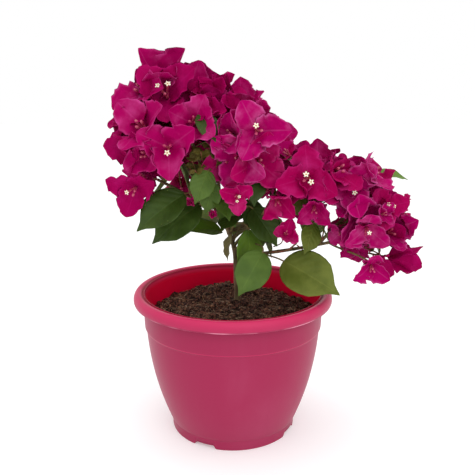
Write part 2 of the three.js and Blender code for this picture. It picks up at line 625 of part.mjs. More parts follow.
function makePot() {
  let pot = solidOf(turnedSolid(potProfile()));
  for (let k = 0; k < NOTCH_COUNT; k += 1) {
    const turn = THREE.MathUtils.degToRad(NOTCH_TURN) + k * 2 * Math.PI / NOTCH_COUNT;
    const depth = FOOT_RADIUS - FOOT_INNER_RADIUS;
    const notch = new THREE.BoxGeometry(3 * depth, NOTCH_WIDTH, 2 * NOTCH_HEIGHT);
    notch.translate(FOOT_INNER_RADIUS + depth / 2, 0, 0).rotateZ(turn);
    pot = pot.subtract(solidOf(notch));
  }
  for (let k = 0; k < DRAIN_COUNT; k += 1) {
    const hole = new THREE.CylinderGeometry(DRAIN_RADIUS, DRAIN_RADIUS, 4 * CHANNEL_DEPTH, 8);
    hole.rotateX(Math.PI / 2);
    hole.translate((HUB_RADIUS + FOOT_INNER_RADIUS) / 2, 0, 0).rotateZ((k + 0.5) * 2 * Math.PI / DRAIN_COUNT);
    pot = pot.subtract(solidOf(hole));
  }
  addNode('pot', pot, PLASTIC);
  place('pot', pot);
}

// Height of the soil: a low mound with clods and a heap, level where the trunk stands.
function soilHeight(x, y) {
  const mound = 1 - Math.min(1, Math.hypot(x, y) / 88) ** 2;
  const clods = Math.sin(x * 0.31 + 1) * Math.cos(y * 0.27) + 0.6 * Math.sin(x * 0.13 - y * 0.17);
  const { at, reach, height } = SOIL_HEAP;
  const heap = height * Math.exp(-(((x - at[0]) / reach[0]) ** 2) - ((y - at[1]) / reach[1]) ** 2);
  const rough = between(SOIL_EDGE_Z, SOIL_CROWN_Z - 1, mound) + SOIL_BUMPS * clods + heap;
  const far = Math.hypot(x - TRUNK_FOOT.x, y - TRUNK_FOOT.y);
  return between(SOIL_CROWN_Z, rough, THREE.MathUtils.smoothstep(far, 12, 30));
}

function makeSoil() {
  const rings = SOIL_RINGS.map((r) => [r, SOIL_CROWN_Z]);
  const geometry = turnedSolid([...cavityProfile(CLEARANCE), ...rings, [0, SOIL_CROWN_Z]]);
  const points = geometry.attributes.position;
  for (let i = 0; i < points.count; i += 1) {
    if (points.getZ(i) > SOIL_EDGE_Z + 1) points.setZ(i, soilHeight(points.getX(i), points.getY(i)));
  }
  const soil = solidOf(geometry);
  addNode('soil', soil, EARTH);
  place('soil', soil);
}

function makeTrunk() {
  const way = TRUNK_WAY.map((step) => new THREE.Vector3(...step).add(TRUNK_FOOT));
  const curve = new THREE.CatmullRomCurve3(way);
  const length = curve.getLength();
  const radius = (part) => between(TRUNK_RADIUS, TRUNK_END_RADIUS, part)
    + FLARE_RADIUS * Math.max(0, 1 - part * length / FLARE_FADE) ** 2;
  const ground = TRUNK_FOOT.z;
  const whole = limb(curve, radius, ...TRUNK_MESH);
  const solid = whole.trimByPlane([0, 0, 1], ground);
  limbs.set('trunk', { curve, solid, fat: limb(curve, radius, ...TRUNK_MESH, CLEARANCE), stems: 0 });
  addNode('trunk', solid, BARK);
  place('trunk', solid);
}

function makeBough({ name, from, along, tip, arch, foot }) {
  const carrier = limbs.get(from).curve;
  const start = carrier.getPointAt(along);
  const end = new THREE.Vector3(...tip);
  const middle = start.clone().lerp(end, 0.45).addScaledVector(UP, arch);
  if (along === 1) start.addScaledVector(carrier.getTangentAt(1), -STEM_ROOT);
  const curve = new THREE.QuadraticBezierCurve3(start, middle, end);
  const radius = taper(foot, BOUGH_END_RADIUS);
  const solid = cutClear(limb(curve, radius, ...BOUGH_MESH));
  limbs.set(name, { curve, solid, fat: limb(curve, radius, ...BOUGH_MESH, CLEARANCE), stems: 0 });
  addNode(name, solid, BARK);
  place(name, solid);
}

function makeStalk(foot, bow, end) {
  const curve = new THREE.QuadraticBezierCurve3(foot, bow, end);
  return limb(curve, taper(STALK_RADIUS, STALK_END_RADIUS), ...STALK_MESH);
}

// The heads round the lead one, each on a stalk from the stem.
function moreHeads(row, seed, stem, lead, aim) {
  const pieces = [];
  for (let k = 1; k < row.heads; k += 1) {
    const own = seed + 0.1 * k;
    const from = HEADS_FROM - HEADS_STEP * (k - 1);
    const foot = stem.getPointAt(from);
    const way = stem.getTangentAt(from);
    const beside = radiansOr(row.beside, own, 4);
    for (let tries = 0; tries < HEAD_TRIES; tries += 1) {
      const turn = beside + tries / HEAD_TRIES * 2 * Math.PI + (k - 1) * GOLDEN_TURN;
      const out = aside(aim, turn);
      const root = lead.clone().addScaledVector(out, HEAD_SPREAD * between(0.85, 1.15, chance(own, 5)));
      root.addScaledVector(aim, -within(HEAD_BACK, own, 6));
      const facing = aim.clone().addScaledVector(out, 0.7).addScaledVector(UP, 0.15).normalize();
      const bow = foot.clone().addScaledVector(way, foot.distanceTo(root) * 0.45);
      const stalk = makeStalk(foot, bow, root);
      const group = `head ${k}`;
      if (!clashes(stalk, row.name, group)) {
        const head = flowerHead(row.name, group, own, root, facing, { size: row.size });
        if (head.length > 1) {
          pieces.push(...keep(row.name, group, [stalk, ...head]));
          break;
        }
      }
    }
  }
  return pieces;
}

function leadHead({ place, aim }) {
  return { lead: new THREE.Vector3(...place), aim: new THREE.Vector3(...aim).normalize() };
}

function makeSpray(row, seed) {
  const { curve, solid } = limbs.get(row.name);
  const { lead, aim } = leadHead(row);
  const first = flowerHead(row.name, LEAD, seed, lead, aim, row);
  const pieces = keep(row.name, LEAD, first);
  pieces.push(...moreHeads(row, seed, curve, lead, aim));
  pieces.push(...moreLeaves(row.name, seed, curve, row.leaves));
  finishMass(row.name, solid, pieces, BRACTS);
}

function moreLeaves(owner, seed, stem, count) {
  const pieces = [];
  for (let k = 1; k <= count; k += 1) {
    pieces.push(...leafOnStem(owner, `leaf ${k}`, seed + 0.01 * k, stem));
  }
  return pieces;
}

// A placed leaf, moved the way it faces until it finds room.
function placedLeaf(row, [base, tip]) {
  const facing = new THREE.Vector3(...row.face).normalize();
  const root = new THREE.Vector3(...base);
  const chord = new THREE.Vector3(...tip).sub(root);
  const length = chord.length();
  chord.normalize();
  for (let tries = 0; tries < PLACED_TRIES; tries += 1) {
    const green = leafBlade(root.clone().addScaledVector(chord, -1), chord, facing, length + 1);
    if (!clashes(green, row.name, 'placed')) return { root, chord, green };
    root.addScaledVector(facing, PLACED_STEP);
  }
  throw new Error(`no room for a leaf of ${row.name}`);
}

function makeShoot(row, seed) {
  const leaves = row.placed.map((ends) => placedLeaf(row, ends));
  const pieces = leaves.map((leaf) => leaf.green);
  keep(row.name, 'stem', pieces);
  layStem(row, seed, leaves[0].root, leaves[0].chord);
  const { curve, solid } = limbs.get(row.name);
  for (const leaf of leaves.slice(1)) {
    const foot = curve.getPointAt(0.6);
    const bow = foot.clone().lerp(leaf.root, 0.5).addScaledVector(UP, 4);
    pieces.push(makeStalk(foot, bow, leaf.root));
  }
  pieces.push(...moreLeaves(row.name, seed, curve, row.more));
  finishMass(row.name, solid, pieces, LEAVES);
}

// The stem and the pieces as one node. If it doesn't close, one of the pieces is left off.
function finishMass(name, stem, pieces, material) {
  const choices = [pieces, ...pieces.map((left) => pieces.filter((piece) => piece !== left))];
  for (const choice of choices) {
    const whole = Manifold.union([stem, ...choice]);
    const solid = MERGES.map((reach) => onGrid(whole.simplify(reach))).find((body) => body);
    if (solid) {
      addNode(name, solid, material);
      return;
    }
  }
  throw new Error(`${name} does not close`);
}

makePot();
makeSoil();
makeTrunk();
BOUGHS.forEach(makeBough);
SHOOTS.forEach((row, k) => makeShoot(row, 100 + k));
SPRAYS.forEach((row, k) => layStem(row, 1 + k, leadHead(row).lead, leadHead(row).aim));
SPRAYS.forEach((row, k) => makeSpray(row, 1 + k));

export default bush;
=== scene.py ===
# %% [markdown]
# # A bougainvillea bush in a pink plastic pot
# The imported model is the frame: plain solids of the pot, the soil, the trunk, its boughs and the
# masses of flowers and leaves. Every surface that the camera sees is worked out here on top of
# them, at the same places. Sizes of the plant are in millimetres, and a mesh is turned into
# metres when it is made.

import math

import bpy
import numpy as np
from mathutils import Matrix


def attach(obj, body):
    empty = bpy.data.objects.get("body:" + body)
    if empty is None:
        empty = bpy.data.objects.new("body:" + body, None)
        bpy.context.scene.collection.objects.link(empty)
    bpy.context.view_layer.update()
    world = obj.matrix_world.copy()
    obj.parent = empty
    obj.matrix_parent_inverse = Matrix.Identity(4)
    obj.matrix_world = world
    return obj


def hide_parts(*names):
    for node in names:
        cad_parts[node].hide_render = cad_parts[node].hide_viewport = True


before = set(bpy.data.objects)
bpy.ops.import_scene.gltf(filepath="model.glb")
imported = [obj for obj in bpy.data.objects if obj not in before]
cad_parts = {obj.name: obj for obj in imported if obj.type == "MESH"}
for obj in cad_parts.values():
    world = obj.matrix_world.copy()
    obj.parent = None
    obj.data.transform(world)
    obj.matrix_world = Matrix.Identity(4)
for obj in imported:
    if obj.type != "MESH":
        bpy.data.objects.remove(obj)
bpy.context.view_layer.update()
MM = 0.001                      # a millimetre in the scene's metres
UP = np.array([0.0, 0.0, 1.0])
print(f"{len(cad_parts)} nodes in the frame")

# %% [markdown]
# ## Camera
# The bush was photographed from a little above its rim, close by. The rim's ellipse and the
# height of the pot give the tilt, and the width of the rim gives the lens.

# %% Camera
EYE = (0.0046, -0.602, 0.339)   # in metres
TILT = math.radians(76.8)       # from straight down
LENS = 47.0                     # in millimetres


def add_object(name, data):
    """A new object that holds the data, linked into the scene."""
    made = bpy.data.objects.new(name, data)
    bpy.context.collection.objects.link(made)
    return made


camera = add_object("camera", bpy.data.cameras.new("camera"))
camera.data.lens = LENS
camera.location = EYE
camera.rotation_euler = (TILT, 0, 0)
bpy.context.scene.camera = camera
print(f"camera {-EYE[1]:.2f} m in front of the pot's middle and {EYE[2]:.2f} m up")

# %% [markdown]
# ## Studio
# The photo was taken in a light tent: white all round, with a soft light above and in front of
# the bush. A white world does most of the work. Large area lamps give the rim its shine and let
# the undersides of leaves and bracts fall off a little.

# %% World and lamps
WORLD_STRENGTH = 1.0
# Name, place, size in metres and power in watts
LAMPS = [
    ("key", (0.4, -1.1, 0.9), 1.0, 3.6),
    ("top", (0.0, 0.1, 1.5), 1.2, 4.5),
]
LAMPS_AIM = (0, 0, 0.2)


def aim_at(lamp, target):
    """Turns a lamp so that its -Z axis points at the target."""
    way = np.array(target) - np.array(lamp.location)
    flat = math.hypot(way[0], way[1])
    lamp.rotation_euler = (math.atan2(flat, -way[2]), 0, math.atan2(way[1], way[0]) - math.pi / 2)


world = bpy.data.worlds.new("light tent")
world.use_nodes = True
tent = world.node_tree.nodes["Background"]
tent.inputs["Color"].default_value = (1, 1, 1, 1)
tent.inputs["Strength"].default_value = WORLD_STRENGTH
bpy.context.scene.world = world
bpy.context.scene.view_settings.view_transform = "Standard"
for name, place, size, power in LAMPS:
    lamp = add_object(name, bpy.data.lights.new(name, "AREA"))
    lamp.data.size = size
    lamp.data.energy = power
    lamp.location = place
    aim_at(lamp, LAMPS_AIM)
    print(f"{name} lamp of {power} W")

# %% [markdown]
# ## Finishes
# A finish is a material made of nodes. Nodes could be added and linked one by one, but shader
# maths reads best as plain expressions, so a small class wraps a socket and turns `+`, `-` and
# `*` into Math nodes. One method adds any other node: it sets the node's settings first and
# then its inputs.

# %% A socket that can be reckoned with


class Field:
    """A value over the surface: the output socket of a node."""

    def __init__(self, finish, socket):
        self.finish = finish
        self.socket = socket

    def maths(self, operation, *values):
        """A Math node on fields and numbers."""
        return self.finish.node("ShaderNodeMath", values, operation=operation)

    def __add__(self, other):
        return self.maths("ADD", self, other)

    def __sub__(self, other):
        return self.maths("SUBTRACT", self, other)

    def __rsub__(self, other):
        return self.maths("SUBTRACT", other, self)

    def __mul__(self, other):
        return self.maths("MULTIPLY", self, other)

    def size(self):
        """The value without its sign."""
        return self.maths("ABSOLUTE", self)

    def sine(self):
        """The sine of the value, in radians."""
        return self.maths("SINE", self)

    def smooth(self, low, high):
        """0 below low, 1 above high and an S-shaped step between them."""
        inputs = {"Value": self, "From Min": low, "From Max": high}
        return self.finish.node("ShaderNodeMapRange", inputs, interpolation_type="SMOOTHSTEP")

    __radd__ = __add__
    __rmul__ = __mul__


# %% A finish made of nodes


class Finish:
    """A material in the making, with its shader's constants set on the sockets."""

    def __init__(self, name, **constants):
        self.material = bpy.data.materials.new(name)
        self.material.use_nodes = True
        self.tree = self.material.node_tree
        self.shader = self.tree.nodes["Principled BSDF"]
        for socket, value in constants.items():
            self.shader.inputs[socket.replace("_", " ")].default_value = value

    def node(self, kind, inputs=(), output=0, **settings):
        """Adds a node: its settings, then the values or links of its inputs."""
        made = self.tree.nodes.new(kind)
        for setting, value in settings.items():
            setattr(made, setting, value)
        pairs = inputs.items() if isinstance(inputs, dict) else enumerate(inputs)
        for key, value in pairs:
            if isinstance(value, Field):
                self.tree.links.new(value.socket, made.inputs[key])
            else:
                made.inputs[key].default_value = value
        return Field(self, made.outputs[output])

    def place(self):
        """Object coordinates, in metres."""
        return self.node("ShaderNodeTexCoord", output="Object")

    def stretched(self, scale):
        """Object coordinates times a scale along each axis."""
        return self.node("ShaderNodeMapping", {"Vector": self.place(), "Scale": scale})

    def noise(self, scale, detail, vector=None):
        """Noise from 0 to 1: scale is how fine it is and detail how many octaves it adds."""
        inputs = {"Vector": vector or self.place(), "Scale": scale, "Detail": detail}
        return self.node("ShaderNodeTexNoise", inputs)

    def across(self):
        """The piece's own places. On a blade: how far along it, and how far from its midrib."""
        parts = {"Vector": self.node("ShaderNodeUVMap", uv_map="blade")}
        return [self.node("ShaderNodeSeparateXYZ", parts, output=k) for k in (0, 1)]

    def mix(self, share, first, second):
        """A colour between two, each one a field or red, green and blue as a screen shows it."""
        ends = [end if isinstance(end, Field) else light(*end) for end in (first, second)]
        inputs = {0: share, 6: ends[0], 7: ends[1]}
        return self.node("ShaderNodeMix", inputs, output=2, data_type="RGBA")

    def surface(self, base, roughness, height, strength, distance):
        """Feeds the shader its colour, its roughness and, through a Bump node, its relief."""
        inputs = {"Height": height, "Strength": strength, "Distance": distance}
        relief = self.node("ShaderNodeBump", inputs)
        for socket, value in (("Base Color", base), ("Roughness", roughness), ("Normal", relief)):
            self.tree.links.new(value.socket, self.shader.inputs[socket])
        return self


# %% Colours


def light(red, green, blue):
    """A colour as a screen shows it, 0 to 255, turned into the light that it stands for."""
    share = np.array([red, green, blue]) / 255
    linear = np.where(share < 0.04045, share / 12.92, ((share + 0.055) / 1.055) ** 2.4)
    return (*linear.tolist(), 1.0)


# %% [markdown]
# ## Closed bodies from rings
# A pot, a twig and a petal are the same kind of surface: rings of points, one behind the other,
# closed by a pole at each end. A twig's rings are circles. A petal's rings are flat: they run
# over its face from edge to edge and come back underneath. A cluster collects such bodies and
# makes them one mesh, because thousands of objects would be slow to draw and to export.

# %% Rings and their faces


def full_turn(count):
    """Angles evenly round a circle, in radians."""
    return np.arange(count) / count * 2 * math.pi


def ring_faces(rows, columns):
    """Four-sided faces between rings and three-sided ones at the poles, which are points 0 and
    last. Point 1 + row * columns + column lies on a ring."""
    row, column = np.mgrid[0:rows - 1, 0:columns]
    following = (column + 1) % columns
    corners = [row * columns + column, row * columns + following,
               (row + 1) * columns + following, (row + 1) * columns + column]
    quads = 1 + np.stack(corners, -1).reshape(-1, 4)
    around = np.arange(columns)
    ahead = (around + 1) % columns
    start = np.stack([np.zeros_like(around), 1 + ahead, 1 + around], -1)
    last = 1 + rows * columns
    ends = 1 + (rows - 1) * columns
    finish = np.stack([np.full_like(around, last), ends + around, ends + ahead], -1)
    return quads, np.concatenate([start, finish])


# %% Clusters of closed bodies


class Cluster:
    """Closed bodies that become one mesh."""

    def __init__(self):
        self.points, self.faces, self.places, self.finishes = [], [], [], []
        self.count = 0

    def add(self, rings, poles, finish=0, places=None, back=None):
        """Takes one body: rings is rows by columns by 3, poles its two ends. A blade's second
        half of each ring is its underside, which has the finish back."""
        rows, columns = rings.shape[:2]
        quads, triangles = ring_faces(rows, columns)
        self.points.append(np.concatenate([poles[:1], rings.reshape(-1, 3), poles[1:]]))
        if places is None:
            places = np.zeros((rows, columns, 2))
        ends = np.array([[0.0, 0.0], [1.0, 0.0]])
        self.places.append(np.concatenate([ends[:1], places.reshape(-1, 2), ends[1:]]))
        self.faces += (quads + self.count).tolist() + (triangles + self.count).tolist()
        under = np.arange(columns) >= columns // 2
        side = np.where(under, finish if back is None else back, finish)
        self.finishes.append(np.concatenate([np.tile(side, rows - 1), side, side]))
        self.count += 2 + rows * columns

    def piece(self, name, finishes, slot, *nodes):
        """Makes the mesh, in metres, as a smooth object that rides on the root and stands for
        the CAD nodes."""
        points = np.concatenate(self.points) * MM
        mesh = bpy.data.meshes.new(name)
        mesh.from_pydata(points.tolist(), [], self.faces)
        for finish in finishes:
            mesh.materials.append(finish.material)
        mesh.polygons.foreach_set("material_index", np.concatenate(self.finishes).astype(np.int32))
        corners = np.empty(len(mesh.loops), np.int32)
        mesh.loops.foreach_get("vertex_index", corners)
        blade = mesh.uv_layers.new(name="blade")
        blade.data.foreach_set("uv", np.concatenate(self.places)[corners].astype(np.float32).ravel())
        mesh.shade_smooth()
        made = add_object(name, mesh)
        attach(made, "root")
        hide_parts(*nodes)
        print(f"{name}: {sum(len(face) - 2 for face in self.faces)} triangles")


# %% [markdown]
# ## The pot
# The pot is blown or moulded in one piece of thick pink plastic. Its wall is round like a
# belly, an upper band stands a little proud of it, and the rim is rolled over and hollow
# beneath. The section is a list of named heights and radii, with its rounds worked out by
# cosines, and it is turned round the axis. A Screw modifier could turn it too. Four shallow
# notches let water out from under the foot ring, though, and for them the lowest points of the
# section have to be lifted here and there, so the rings are worked out here.

# %% Pot sizes
RIM_RADIUS, RIM_WIDEST_Z = 100, 138
RIM_HEM_RADIUS, RIM_HEM_Z = 98, 134.6
CREST_RADIUS, POT_HEIGHT = 95, 145
GROOVE_RADIUS, GROOVE_Z = 90.6, 142.9
LIP_RADIUS, LIP_Z = 89, 144.1
SHOULDER_RADIUS, SHOULDER_Z = 88.7, 132
BAND_Z, BAND_PROUD = 109, 1.5
BELLY = 2.16                    # the power of the wall's curve
ANKLE_RADIUS, ANKLE_Z = 65.5, 12
FOOT_RADIUS, FOOT_INNER_RADIUS, FOOT_ROUND = 63.6, 58, 0.9
HUB_RADIUS, CHANNEL_DEPTH, CHANNEL_DRAFT = 34, 4, 0.4
EDGE = 0.6                      # how far a small edge is rounded off
POT_WALL = 2.4
NOTCH_COUNT, NOTCH_WIDTH, NOTCH_HEIGHT = 4, 22, 4
NOTCH_TURN, NOTCH_SIDE = math.radians(-116), 1.2
SOIL_EDGE_Z, SOIL_CROWN_Z = 117, 126
UNDER_SOIL_Z = SOIL_EDGE_Z - 6  # where the inside of the wall ends, out of sight
POT_COLUMNS, ROLL_ROWS = 360, 16

# What a point is part of, which also sets the light painted on it: 1 on the inside, where the
# glow of light through the wall is painted, and a painted highlight from none on the wall at 0 to
# the rim's crest at 1, with a line of it on the step, 2 for painted shade round the lip and -1
# for a painted glint on the hem
OUTSIDE, STEP, RIM, LIP, HEM, INSIDE = (0, 0), (0, 0.45), (0, 1), (0, 2), (0, -1), (1, 0)
RIM_SIDE = (0, 0.35)            # the rim's side gets less painted highlight than its crest


def wall_radius(z):
    """Radius of the bellied wall, a power curve from the ankle to the shoulder."""
    share = np.clip((z - ANKLE_Z) / (SHOULDER_Z - ANKLE_Z), 0, 1)
    return ANKLE_RADIUS + (SHOULDER_RADIUS - ANKLE_RADIUS) * (1 - (1 - share) ** BELLY)


def wall_stretch(low, high, count, proud, inset=0.0):
    """Points up the wall's curve, moved out by how proud they are and in by an inset."""
    z = np.linspace(low, high, count)
    return np.stack([wall_radius(z) + proud - inset, z], -1)


def arc(middle, reach, start, end, count):
    """Points on an ellipse between two angles in degrees."""
    turn = np.radians(np.linspace(start, end, count))
    return np.stack([middle[0] + reach[0] * np.cos(turn), middle[1] + reach[1] * np.sin(turn)], -1)


# %% The pot's section
# Stretches of points, as radius and height, each with what it is part of


def outer_stretches():
    """From the middle of the underside over its channel and the foot ring, up the bellied wall
    and over the step to the shoulder."""
    underside = [[HUB_RADIUS - 1, 0.0], [HUB_RADIUS, EDGE],
                 [HUB_RADIUS + CHANNEL_DRAFT, CHANNEL_DEPTH],
                 [FOOT_INNER_RADIUS - CHANNEL_DRAFT, CHANNEL_DEPTH], [FOOT_INNER_RADIUS, EDGE],
                 [FOOT_INNER_RADIUS + EDGE, 0.0], [FOOT_RADIUS - FOOT_ROUND, 0.0]]
    foot = arc((FOOT_RADIUS - FOOT_ROUND, FOOT_ROUND), (FOOT_ROUND, FOOT_ROUND), -70, 0, 4)
    ankle = [[FOOT_RADIUS, ANKLE_Z - 3.2], [FOOT_RADIUS + 0.25, ANKLE_Z - 2.4],
             [ANKLE_RADIUS - 0.5, ANKLE_Z - 0.7]]
    belly = wall_stretch(ANKLE_Z, BAND_Z - 0.3, 44, 0.0)
    step = arc((wall_radius(BAND_Z) + 0.5, BAND_Z + 1.0), (BAND_PROUD - 0.5, 1.0), -60, 0, 4)
    upper = wall_stretch(BAND_Z + 1.4, SHOULDER_Z, 12, BAND_PROUD)
    plain = [(stretch, OUTSIDE) for stretch in (underside, foot, ankle, belly)]
    return [*plain, (step, STEP), (upper, OUTSIDE)]


def rim_stretches():
    """From the shoulder up into the hollow rim, round its hem and over its roll, into the groove,
    over the lip and down the inside to below the soil."""
    band = SHOULDER_RADIUS + BAND_PROUD
    under_rim = [[band, SHOULDER_Z + 8], [band + 0.5, GROOVE_Z - 1.7], [band + 1.2, GROOVE_Z - 1.4],
                 [RIM_HEM_RADIUS - 1.2, GROOVE_Z - 1.4], [RIM_HEM_RADIUS - 0.5, GROOVE_Z - 1.9]]
    hem = arc((RIM_HEM_RADIUS + 0.7, RIM_HEM_Z + 0.6), (0.7, 0.6), 180, 360, 7)
    widest = [[RIM_RADIUS - 0.15, RIM_WIDEST_Z - 1.6]]
    roll = arc((CREST_RADIUS, RIM_WIDEST_Z), (RIM_RADIUS - CREST_RADIUS, POT_HEIGHT - RIM_WIDEST_Z),
               0, 90, ROLL_ROWS)
    # The painted highlight grows over the roll, from the rim's side to its crest
    brighter = np.linspace(RIM_SIDE, RIM, ROLL_ROWS)
    crest = [[GROOVE_RADIUS + 2.6, POT_HEIGHT - 0.25]]
    inner_roll = [[GROOVE_RADIUS + 1.2, POT_HEIGHT - 1.1]]
    groove = arc((GROOVE_RADIUS, GROOVE_Z + 0.5), (0.6, 0.5), 0, -180, 6)
    lip = arc((LIP_RADIUS + 0.4, LIP_Z - 0.5), (0.6, 0.6), 30, 180, 6)
    inside = wall_stretch(UNDER_SOIL_Z, SHOULDER_Z + 6, 14, BAND_PROUD, POT_WALL)[::-1]
    return [(under_rim, OUTSIDE), (hem, HEM), (widest, RIM_SIDE), (roll, brighter), (crest, RIM),
            (inner_roll, LIP), (groove, LIP), (lip, LIP), (inside, INSIDE)]


def notched(height, radius, turn):
    """Lifts the foot ring's lowest points inside each notch, with soft sides."""
    pitch = 2 * math.pi / NOTCH_COUNT
    away = np.abs((turn - NOTCH_TURN + pitch / 2) % pitch - pitch / 2) * FOOT_RADIUS
    inside = np.clip((NOTCH_WIDTH / 2 - away) / NOTCH_SIDE + 0.5, 0, 1)
    on_ring = (radius > FOOT_INNER_RADIUS - 1) & (height < NOTCH_HEIGHT)
    return np.where(on_ring, height + (NOTCH_HEIGHT - height) * inside, height)


# %% [markdown]
# The plastic is semi-matt. It has the faint long scuffs and the dust that a nursery pot
# collects, so its roughness and colour wander a little, and a fine grain breaks the shine.

# %% Pot finish
PINK, PINK_DUSTY = (156, 38, 77), (165, 60, 94)
# The rim's colour is a painted highlight, the lip's a painted shade and the hem's pale one a painted
# glint
PINK_RIM_HIGHLIGHT, PINK_LIP_SHADE, PINK_HEM_GLINT = (208, 50, 98), (160, 6, 52), (236, 150, 176)
# Painted glow: light that comes through the wall, painted into the inside's colour
CRIMSON_GLOW = (238, 3, 58)


def plastic():
    """Pink plastic under dust and scuffs. A highlight is painted on the rim, brightest on its crest,
    and a line of it on the step; a glint is painted in patches on the rim's lower edge, and shade
    round the lip is painted deeper. Inside, the glow of light that comes through the wall is
    painted into its colour."""
    finish = Finish("pot plastic", Specular_IOR_Level=0.15)
    dust = finish.noise(9.0, 6.0).smooth(0.45, 0.75)
    scuffs = finish.noise(40.0, 5.0, finish.stretched((1, 1, 0.12))).smooth(0.5, 0.8)
    # Patches where the painted glint on the hem shows
    glint_patches = finish.noise(34.0, 3.0).smooth(0.4, 0.6)
    inside, rim = finish.across()
    # A painted highlight on the rim, strongest on its crest, and a line of it on the step
    outside = finish.mix(rim, finish.mix(dust * 0.5 + scuffs * 0.25, PINK, PINK_DUSTY), PINK_RIM_HIGHLIGHT)
    # Painted shade: the inner roll, the groove and the lip are deeper and redder
    outside = finish.mix(rim - 1, outside, PINK_LIP_SHADE)
    # A painted glint in patches along the rim's lower edge
    outside = finish.mix(rim * glint_patches * -0.8, outside, PINK_HEM_GLINT)
    grain = finish.noise(900.0, 2.0) + scuffs * 0.6
    # The inside gets the painted glow
    return finish.surface(finish.mix(inside, outside, CRIMSON_GLOW), 0.36 + dust * 0.1 + scuffs * 0.12,
                          grain, 0.12, 0.0004)


# %% Pot mesh
stretches = outer_stretches() + rim_stretches()
section = np.concatenate([stretch for stretch, _ in stretches])
kinds = np.concatenate([np.broadcast_to(kind, (len(stretch), 2)) for stretch, kind in stretches])
turn = full_turn(POT_COLUMNS)
radius, height = section[:, :1], section[:, 1:]
wall = np.stack([radius * np.cos(turn), radius * np.sin(turn), notched(height, radius, turn)], -1)
print(f"{len(section)} points in the pot's section")
pot = Cluster()
pot.add(wall, np.array([[0, 0, 0], [0, 0, UNDER_SOIL_Z]]),
        places=np.repeat(kinds[:, None], POT_COLUMNS, axis=1))
pot.piece("pot_body", [plastic()], "pot_plastic", "pot")

# %% [markdown]
# ## Soil
# Potting soil is peat: dark brown, in crumbs of all sizes, with pale fibres and bits of bark
# lying on it. A height over the disc gives the mound and its clods. Bump alone would do for
# the grain, but seen from this near the soil's outline has to be rough too, so loose crumbs and
# fibres are small closed bodies strewn over it by a seeded draw.

# %% The soil's height
SOIL_REACH = 88
HEAP_AT, HEAP_REACH, HEAP_HEIGHT = (-8, 52), (38, 20), 10      # behind the trunk
TRUNK_FOOT = np.array([5.0, 19.0, SOIL_CROWN_Z + 0.3])
LEVEL_REACH, LEVEL_FADE = 12, 18        # round the trunk's foot
CLOD_HEIGHT = 1.8
GRAIN_SIZES, GRAIN_SHARE = (7.0, 3.7, 1.9), 0.45
SOIL_SEED, LATTICE_COUNT = 7, 64
draw = np.random.default_rng(SOIL_SEED)
LATTICE = draw.random((LATTICE_COUNT, LATTICE_COUNT))


def eased(share):
    """An S-shaped step from 0 to 1: three squares less two cubes."""
    return share ** 2 * (3 - 2 * share)


def value_noise(x, y, size):
    """Heights on a square lattice, blended smoothly between its corners."""
    middle = (LATTICE_COUNT - 1) / 2
    column, row = x / size + middle, y / size + middle
    left, low = np.floor(column).astype(int), np.floor(row).astype(int)
    across, up = eased(column - left), eased(row - low)

    def corner(i, j):
        return LATTICE[(left + i) % LATTICE_COUNT, (low + j) % LATTICE_COUNT]

    lower = corner(0, 0) * (1 - across) + corner(1, 0) * across
    upper = corner(0, 1) * (1 - across) + corner(1, 1) * across
    return lower * (1 - up) + upper * up


def soil_height(x, y):
    """The solid's low mound, its clods, two products of waves, and its heap, a bell. Round the
    trunk's foot all is level. Noise of three sizes is added for the grain."""
    mound = 1 - np.minimum(1, np.hypot(x, y) / SOIL_REACH) ** 2
    clods = np.sin(x * 0.31 + 1) * np.cos(y * 0.27) + 0.6 * np.sin(x * 0.13 - y * 0.17)
    heap = HEAP_HEIGHT * np.exp(-((x - HEAP_AT[0]) / HEAP_REACH[0]) ** 2
                                - ((y - HEAP_AT[1]) / HEAP_REACH[1]) ** 2)
    rough = SOIL_EDGE_Z + (SOIL_CROWN_Z - 1 - SOIL_EDGE_Z) * mound + CLOD_HEIGHT * clods + heap
    away = np.hypot(x - TRUNK_FOOT[0], y - TRUNK_FOOT[1])
    share = eased(np.clip((away - LEVEL_REACH) / LEVEL_FADE, 0, 1))
    grain = sum(size * GRAIN_SHARE * (value_noise(x, y, size) - 0.5) for size in GRAIN_SIZES)
    return SOIL_CROWN_Z * (1 - share) + rough * share + grain


print(f"the soil is {soil_height(0.0, 0.0):.0f} mm up in the middle of the pot")

# %% Soil surface and crumbs
SOIL_ROWS, SOIL_COLUMNS = 110, 300
CRUMBS, CRUMB_SIDES, CRUMB_FLATNESS = 3000, 6, 0.8
BARK_SHARE = 0.25               # of the crumbs


def soil_spot(count, rim):
    """Places strewn evenly over the disc inside a rim, with their height."""
    reach = (SOIL_REACH - rim) * np.sqrt(draw.random(count))
    around = draw.random(count) * 2 * math.pi
    x, y = reach * np.cos(around), reach * np.sin(around)
    return np.stack([x, y, soil_height(x, y)], -1)


def crumb(middle, size):
    """A lumpy ball: three rings at angles from its pole, whose radius wanders from point to
    point."""
    fall = np.radians([35, 90, 145])[:, None]
    around = full_turn(CRUMB_SIDES)
    reach = np.sin(fall) * size * (0.7 + 0.5 * draw.random((len(fall), CRUMB_SIDES)))
    height = np.broadcast_to(-np.cos(fall) * size * CRUMB_FLATNESS, reach.shape)
    rings = np.stack([reach * np.cos(around), reach * np.sin(around), height], -1)
    poles = np.outer([-size * CRUMB_FLATNESS, size * CRUMB_FLATNESS], UP)
    return rings + middle, poles + middle


